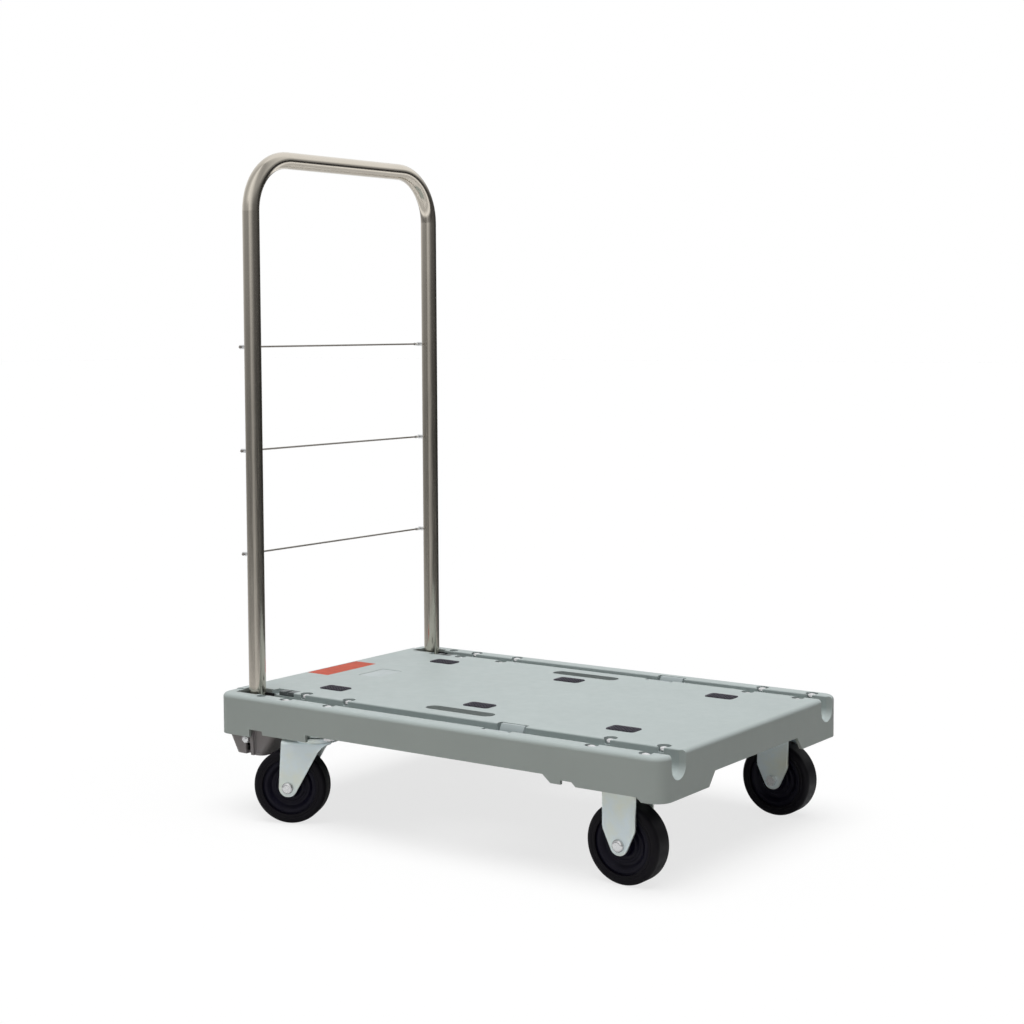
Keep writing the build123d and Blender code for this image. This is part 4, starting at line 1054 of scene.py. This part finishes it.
def floor_paper():
    """White paper: it glows white with a faint shadow to the camera, returns a warm half light to the cart,
    and shows in metal only near the cart."""
    material = bpy.data.materials.new("pale_paper_floor")
    material.use_nodes = True
    tree = material.node_tree
    path = add_node(tree, "ShaderNodeLightPath")
    glow = add_node(tree, "ShaderNodeEmission", {"Strength": BACKDROP_LEVEL})
    shadow = add_node(tree, "ShaderNodeBsdfDiffuse", {"Color": WHITE})
    seen = add_node(tree, "ShaderNodeMixShader", {
        "Fac": SHADOW_SHARE, 1: glow.outputs["Emission"], 2: shadow.outputs["BSDF"]})
    place = add_node(tree, "ShaderNodeTexCoord")
    reach = add_node(tree, "ShaderNodeVectorMath", {0: place.outputs["Object"]}, operation="LENGTH")
    close_by = add_node(tree, "ShaderNodeMapRange", {
        "Value": reach.outputs["Value"], "From Min": MIRRORED_FULL, "From Max": MIRRORED_END,
        "To Min": MIRRORED_SHARE, "To Max": 0.0})
    clear = add_node(tree, "ShaderNodeBsdfTransparent")
    mirrored_paper = add_node(tree, "ShaderNodeBsdfDiffuse", {"Color": MIRRORED_PAPER})
    in_metal = add_node(tree, "ShaderNodeMixShader", {
        "Fac": close_by.outputs["Result"], 1: clear.outputs["BSDF"], 2: mirrored_paper.outputs["BSDF"]})
    bounce = add_node(tree, "ShaderNodeBsdfDiffuse", {"Color": BOUNCE_PAPER})
    unseen = add_node(tree, "ShaderNodeMixShader", {
        "Fac": path.outputs["Is Glossy Ray"], 1: bounce.outputs["BSDF"], 2: in_metal.outputs["Shader"]})
    mixed = add_node(tree, "ShaderNodeMixShader", {
        "Fac": path.outputs["Is Camera Ray"], 1: unseen.outputs["Shader"], 2: seen.outputs["Shader"]})
    feed(tree.nodes["Material Output"], {"Surface": mixed.outputs["Shader"]})
    return material


def studio_world():
    """A room that is white to the camera, dim to the cart, and walls, ceiling and ground to metal."""
    world = bpy.data.worlds.new("studio")
    world.use_nodes = True
    tree = world.node_tree
    direction = add_node(tree, "ShaderNodeTexCoord")
    compass = add_node(tree, "ShaderNodeSeparateXYZ", {"Vector": direction.outputs["Generated"]})
    bearing = add_node(tree, "ShaderNodeMath", {
        0: compass.outputs["Y"], 1: compass.outputs["X"]}, operation="ARCTAN2")
    round_room = add_node(tree, "ShaderNodeMapRange", {
        "Value": bearing.outputs["Value"], "From Min": -math.pi, "From Max": math.pi})
    walls, ceiling = (
        add_node(tree, "ShaderNodeValToRGB", {"Fac": round_room.outputs["Result"]},
                 stops=[((turn + 180) / 360, (level, level, level, 1)) for turn, level in levels])
        for levels in (WALL_LEVELS, CEILING_LEVELS))
    bands = {}
    for name, (start, end, first, last, slope) in ROOM_BANDS.items():
        band = add_node(tree, "ShaderNodeMapRange", {
            "Value": compass.outputs["Z"], "From Min": start, "From Max": end,
            "To Min": first, "To Max": last}, interpolation_type=slope)
        bands[name] = band.outputs["Result"]

    both_lifts = add_node(tree, "ShaderNodeMath", {
        0: bands["wall_lift"], 1: bands["low_lift"]}, operation="MULTIPLY")
    lifted = add_node(tree, "ShaderNodeMath", {
        0: walls.outputs["Color"], 1: both_lifts.outputs["Value"]}, operation="MULTIPLY")
    upper = add_node(tree, "ShaderNodeMix", {
        0: bands["ceiling_share"], 2: lifted.outputs["Value"],
        3: ceiling.outputs["Color"]}, data_type="FLOAT")
    room = add_node(tree, "ShaderNodeMix", {
        0: bands["ground_share"], 2: upper.outputs[0], 3: bands["ground"]}, data_type="FLOAT")
    path = add_node(tree, "ShaderNodeLightPath")
    in_metal = add_node(tree, "ShaderNodeMix", {
        0: path.outputs["Is Glossy Ray"], 2: AMBIENT_LEVEL, 3: room.outputs[0]}, data_type="FLOAT")
    seen = add_node(tree, "ShaderNodeMix", {
        0: path.outputs["Is Camera Ray"], 2: in_metal.outputs[0], 3: BACKDROP_LEVEL}, data_type="FLOAT")
    feed(tree.nodes["Background"], {"Color": WHITE, "Strength": seen.outputs[0]})
    return world


def facing(direction):
    """Turns a lamp so that its light comes from a direction."""
    return Vector(direction).to_track_quat("Z", "Y").to_euler()


def place_lamps():
    """Adds the lamps, which metal doesn't mirror."""
    bpy.ops.object.light_add(type="SUN")
    sun = bpy.context.object
    sun.data.energy = SUN_ENERGY
    sun.data.angle = SUN_SPREAD
    sun.rotation_euler = facing(SUN_FROM)
    sun.visible_glossy = False
    bpy.ops.object.light_add(type="AREA", location=STRIP_PLACE)
    strip = bpy.context.object
    strip.data.shape = "RECTANGLE"
    strip.data.size, strip.data.size_y = STRIP_SIZE
    strip.data.energy = STRIP_ENERGY
    strip.data.color = STRIP_COLOUR
    strip.rotation_euler = facing(STRIP_FROM)
    strip.visible_glossy = False


def place_camera():
    """Adds the camera at the photograph's angle and returns it."""
    back = Vector((math.sin(VIEW_BEARING) * math.cos(VIEW_RISE),
                   -math.cos(VIEW_BEARING) * math.cos(VIEW_RISE),
                   math.sin(VIEW_RISE)))
    right = Vector((math.cos(VIEW_BEARING), math.sin(VIEW_BEARING), 0))
    up = back.cross(right)
    turned_right = right * math.cos(VIEW_ROLL) + up * math.sin(VIEW_ROLL)
    turned_up = up * math.cos(VIEW_ROLL) - right * math.sin(VIEW_ROLL)
    axes = Matrix((turned_right, turned_up, back)).transposed().to_4x4()
    bpy.ops.object.camera_add()
    camera = bpy.context.object
    camera.matrix_world = Matrix.Translation(CAMERA_PLACE) @ axes
    camera.data.lens = CAMERA_LENS
    camera.data.sensor_width = CAMERA_SENSOR
    camera.data.shift_y = CAMERA_SHIFT_Y
    camera.data.clip_end = CAMERA_REACH
    return camera


class CART_OT_stage(Operator):
    """Sets the pale floor, the soft light and the camera at the photograph's angle"""

    bl_idname = "cart.stage"
    bl_label = "Floor, light and camera"

    def execute(self, context):
        deselect()
        bpy.ops.mesh.primitive_plane_add(size=FLOOR_SIZE)
        floor = bpy.context.object
        floor.name = "floor"
        floor.data.materials.append(floor_paper())
        context.scene.world = studio_world()
        place_lamps()
        context.scene.camera = place_camera()
        context.scene.view_settings.view_transform = "Standard"
        return {"FINISHED"}


PIECES = (CART_OT_wheels, CART_OT_grip_pads, CART_OT_fixed_brackets, CART_OT_swivel_forks, CART_OT_clips,
          CART_OT_housings, CART_OT_lock_sliders, CART_OT_caster_bolts, CART_OT_trims)


class CART_PT_cart(Panel):
    """Lists the steps that dress the cart"""

    bl_label = "Folding platform cart"
    bl_idname = "CART_PT_cart"
    bl_space_type = "VIEW_3D"
    bl_region_type = "UI"
    bl_category = "Cart"

    def draw(self, context):
        for step in (*PIECES, CART_OT_cad_finishes, CART_OT_stage):
            self.layout.operator(step.bl_idname)
        for group in (context.scene.cart.colours, context.scene.cart.sizes):
            box = self.layout.box()
            for name in group.__annotations__:
                box.prop(group, name)


CLASSES = (CartColours, CartSizes, CartSettings, *PIECES, CART_OT_cad_finishes, CART_OT_stage, CART_PT_cart)


def register():
    """Registers the classes and hangs the settings on the scene."""
    for cls in CLASSES:
        bpy.utils.register_class(cls)
    bpy.types.Scene.cart = PointerProperty(type=CartSettings)


def unregister():
    """Takes the settings and the classes away again."""
    del bpy.types.Scene.cart
    for cls in reversed(CLASSES):
        bpy.utils.unregister_class(cls)


def main():
    """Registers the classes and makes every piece."""
    register()
    bpy.ops.cart.wheels()
    bpy.ops.cart.grip_pads()
    bpy.ops.cart.fixed_brackets()
    bpy.ops.cart.swivel_forks()
    bpy.ops.cart.clips()
    bpy.ops.cart.housings()
    bpy.ops.cart.lock_sliders()
    bpy.ops.cart.caster_bolts()
    bpy.ops.cart.trims()
    bpy.ops.cart.cad_finishes()
    bpy.ops.cart.stage()


if __name__ == "__main__":
    main()
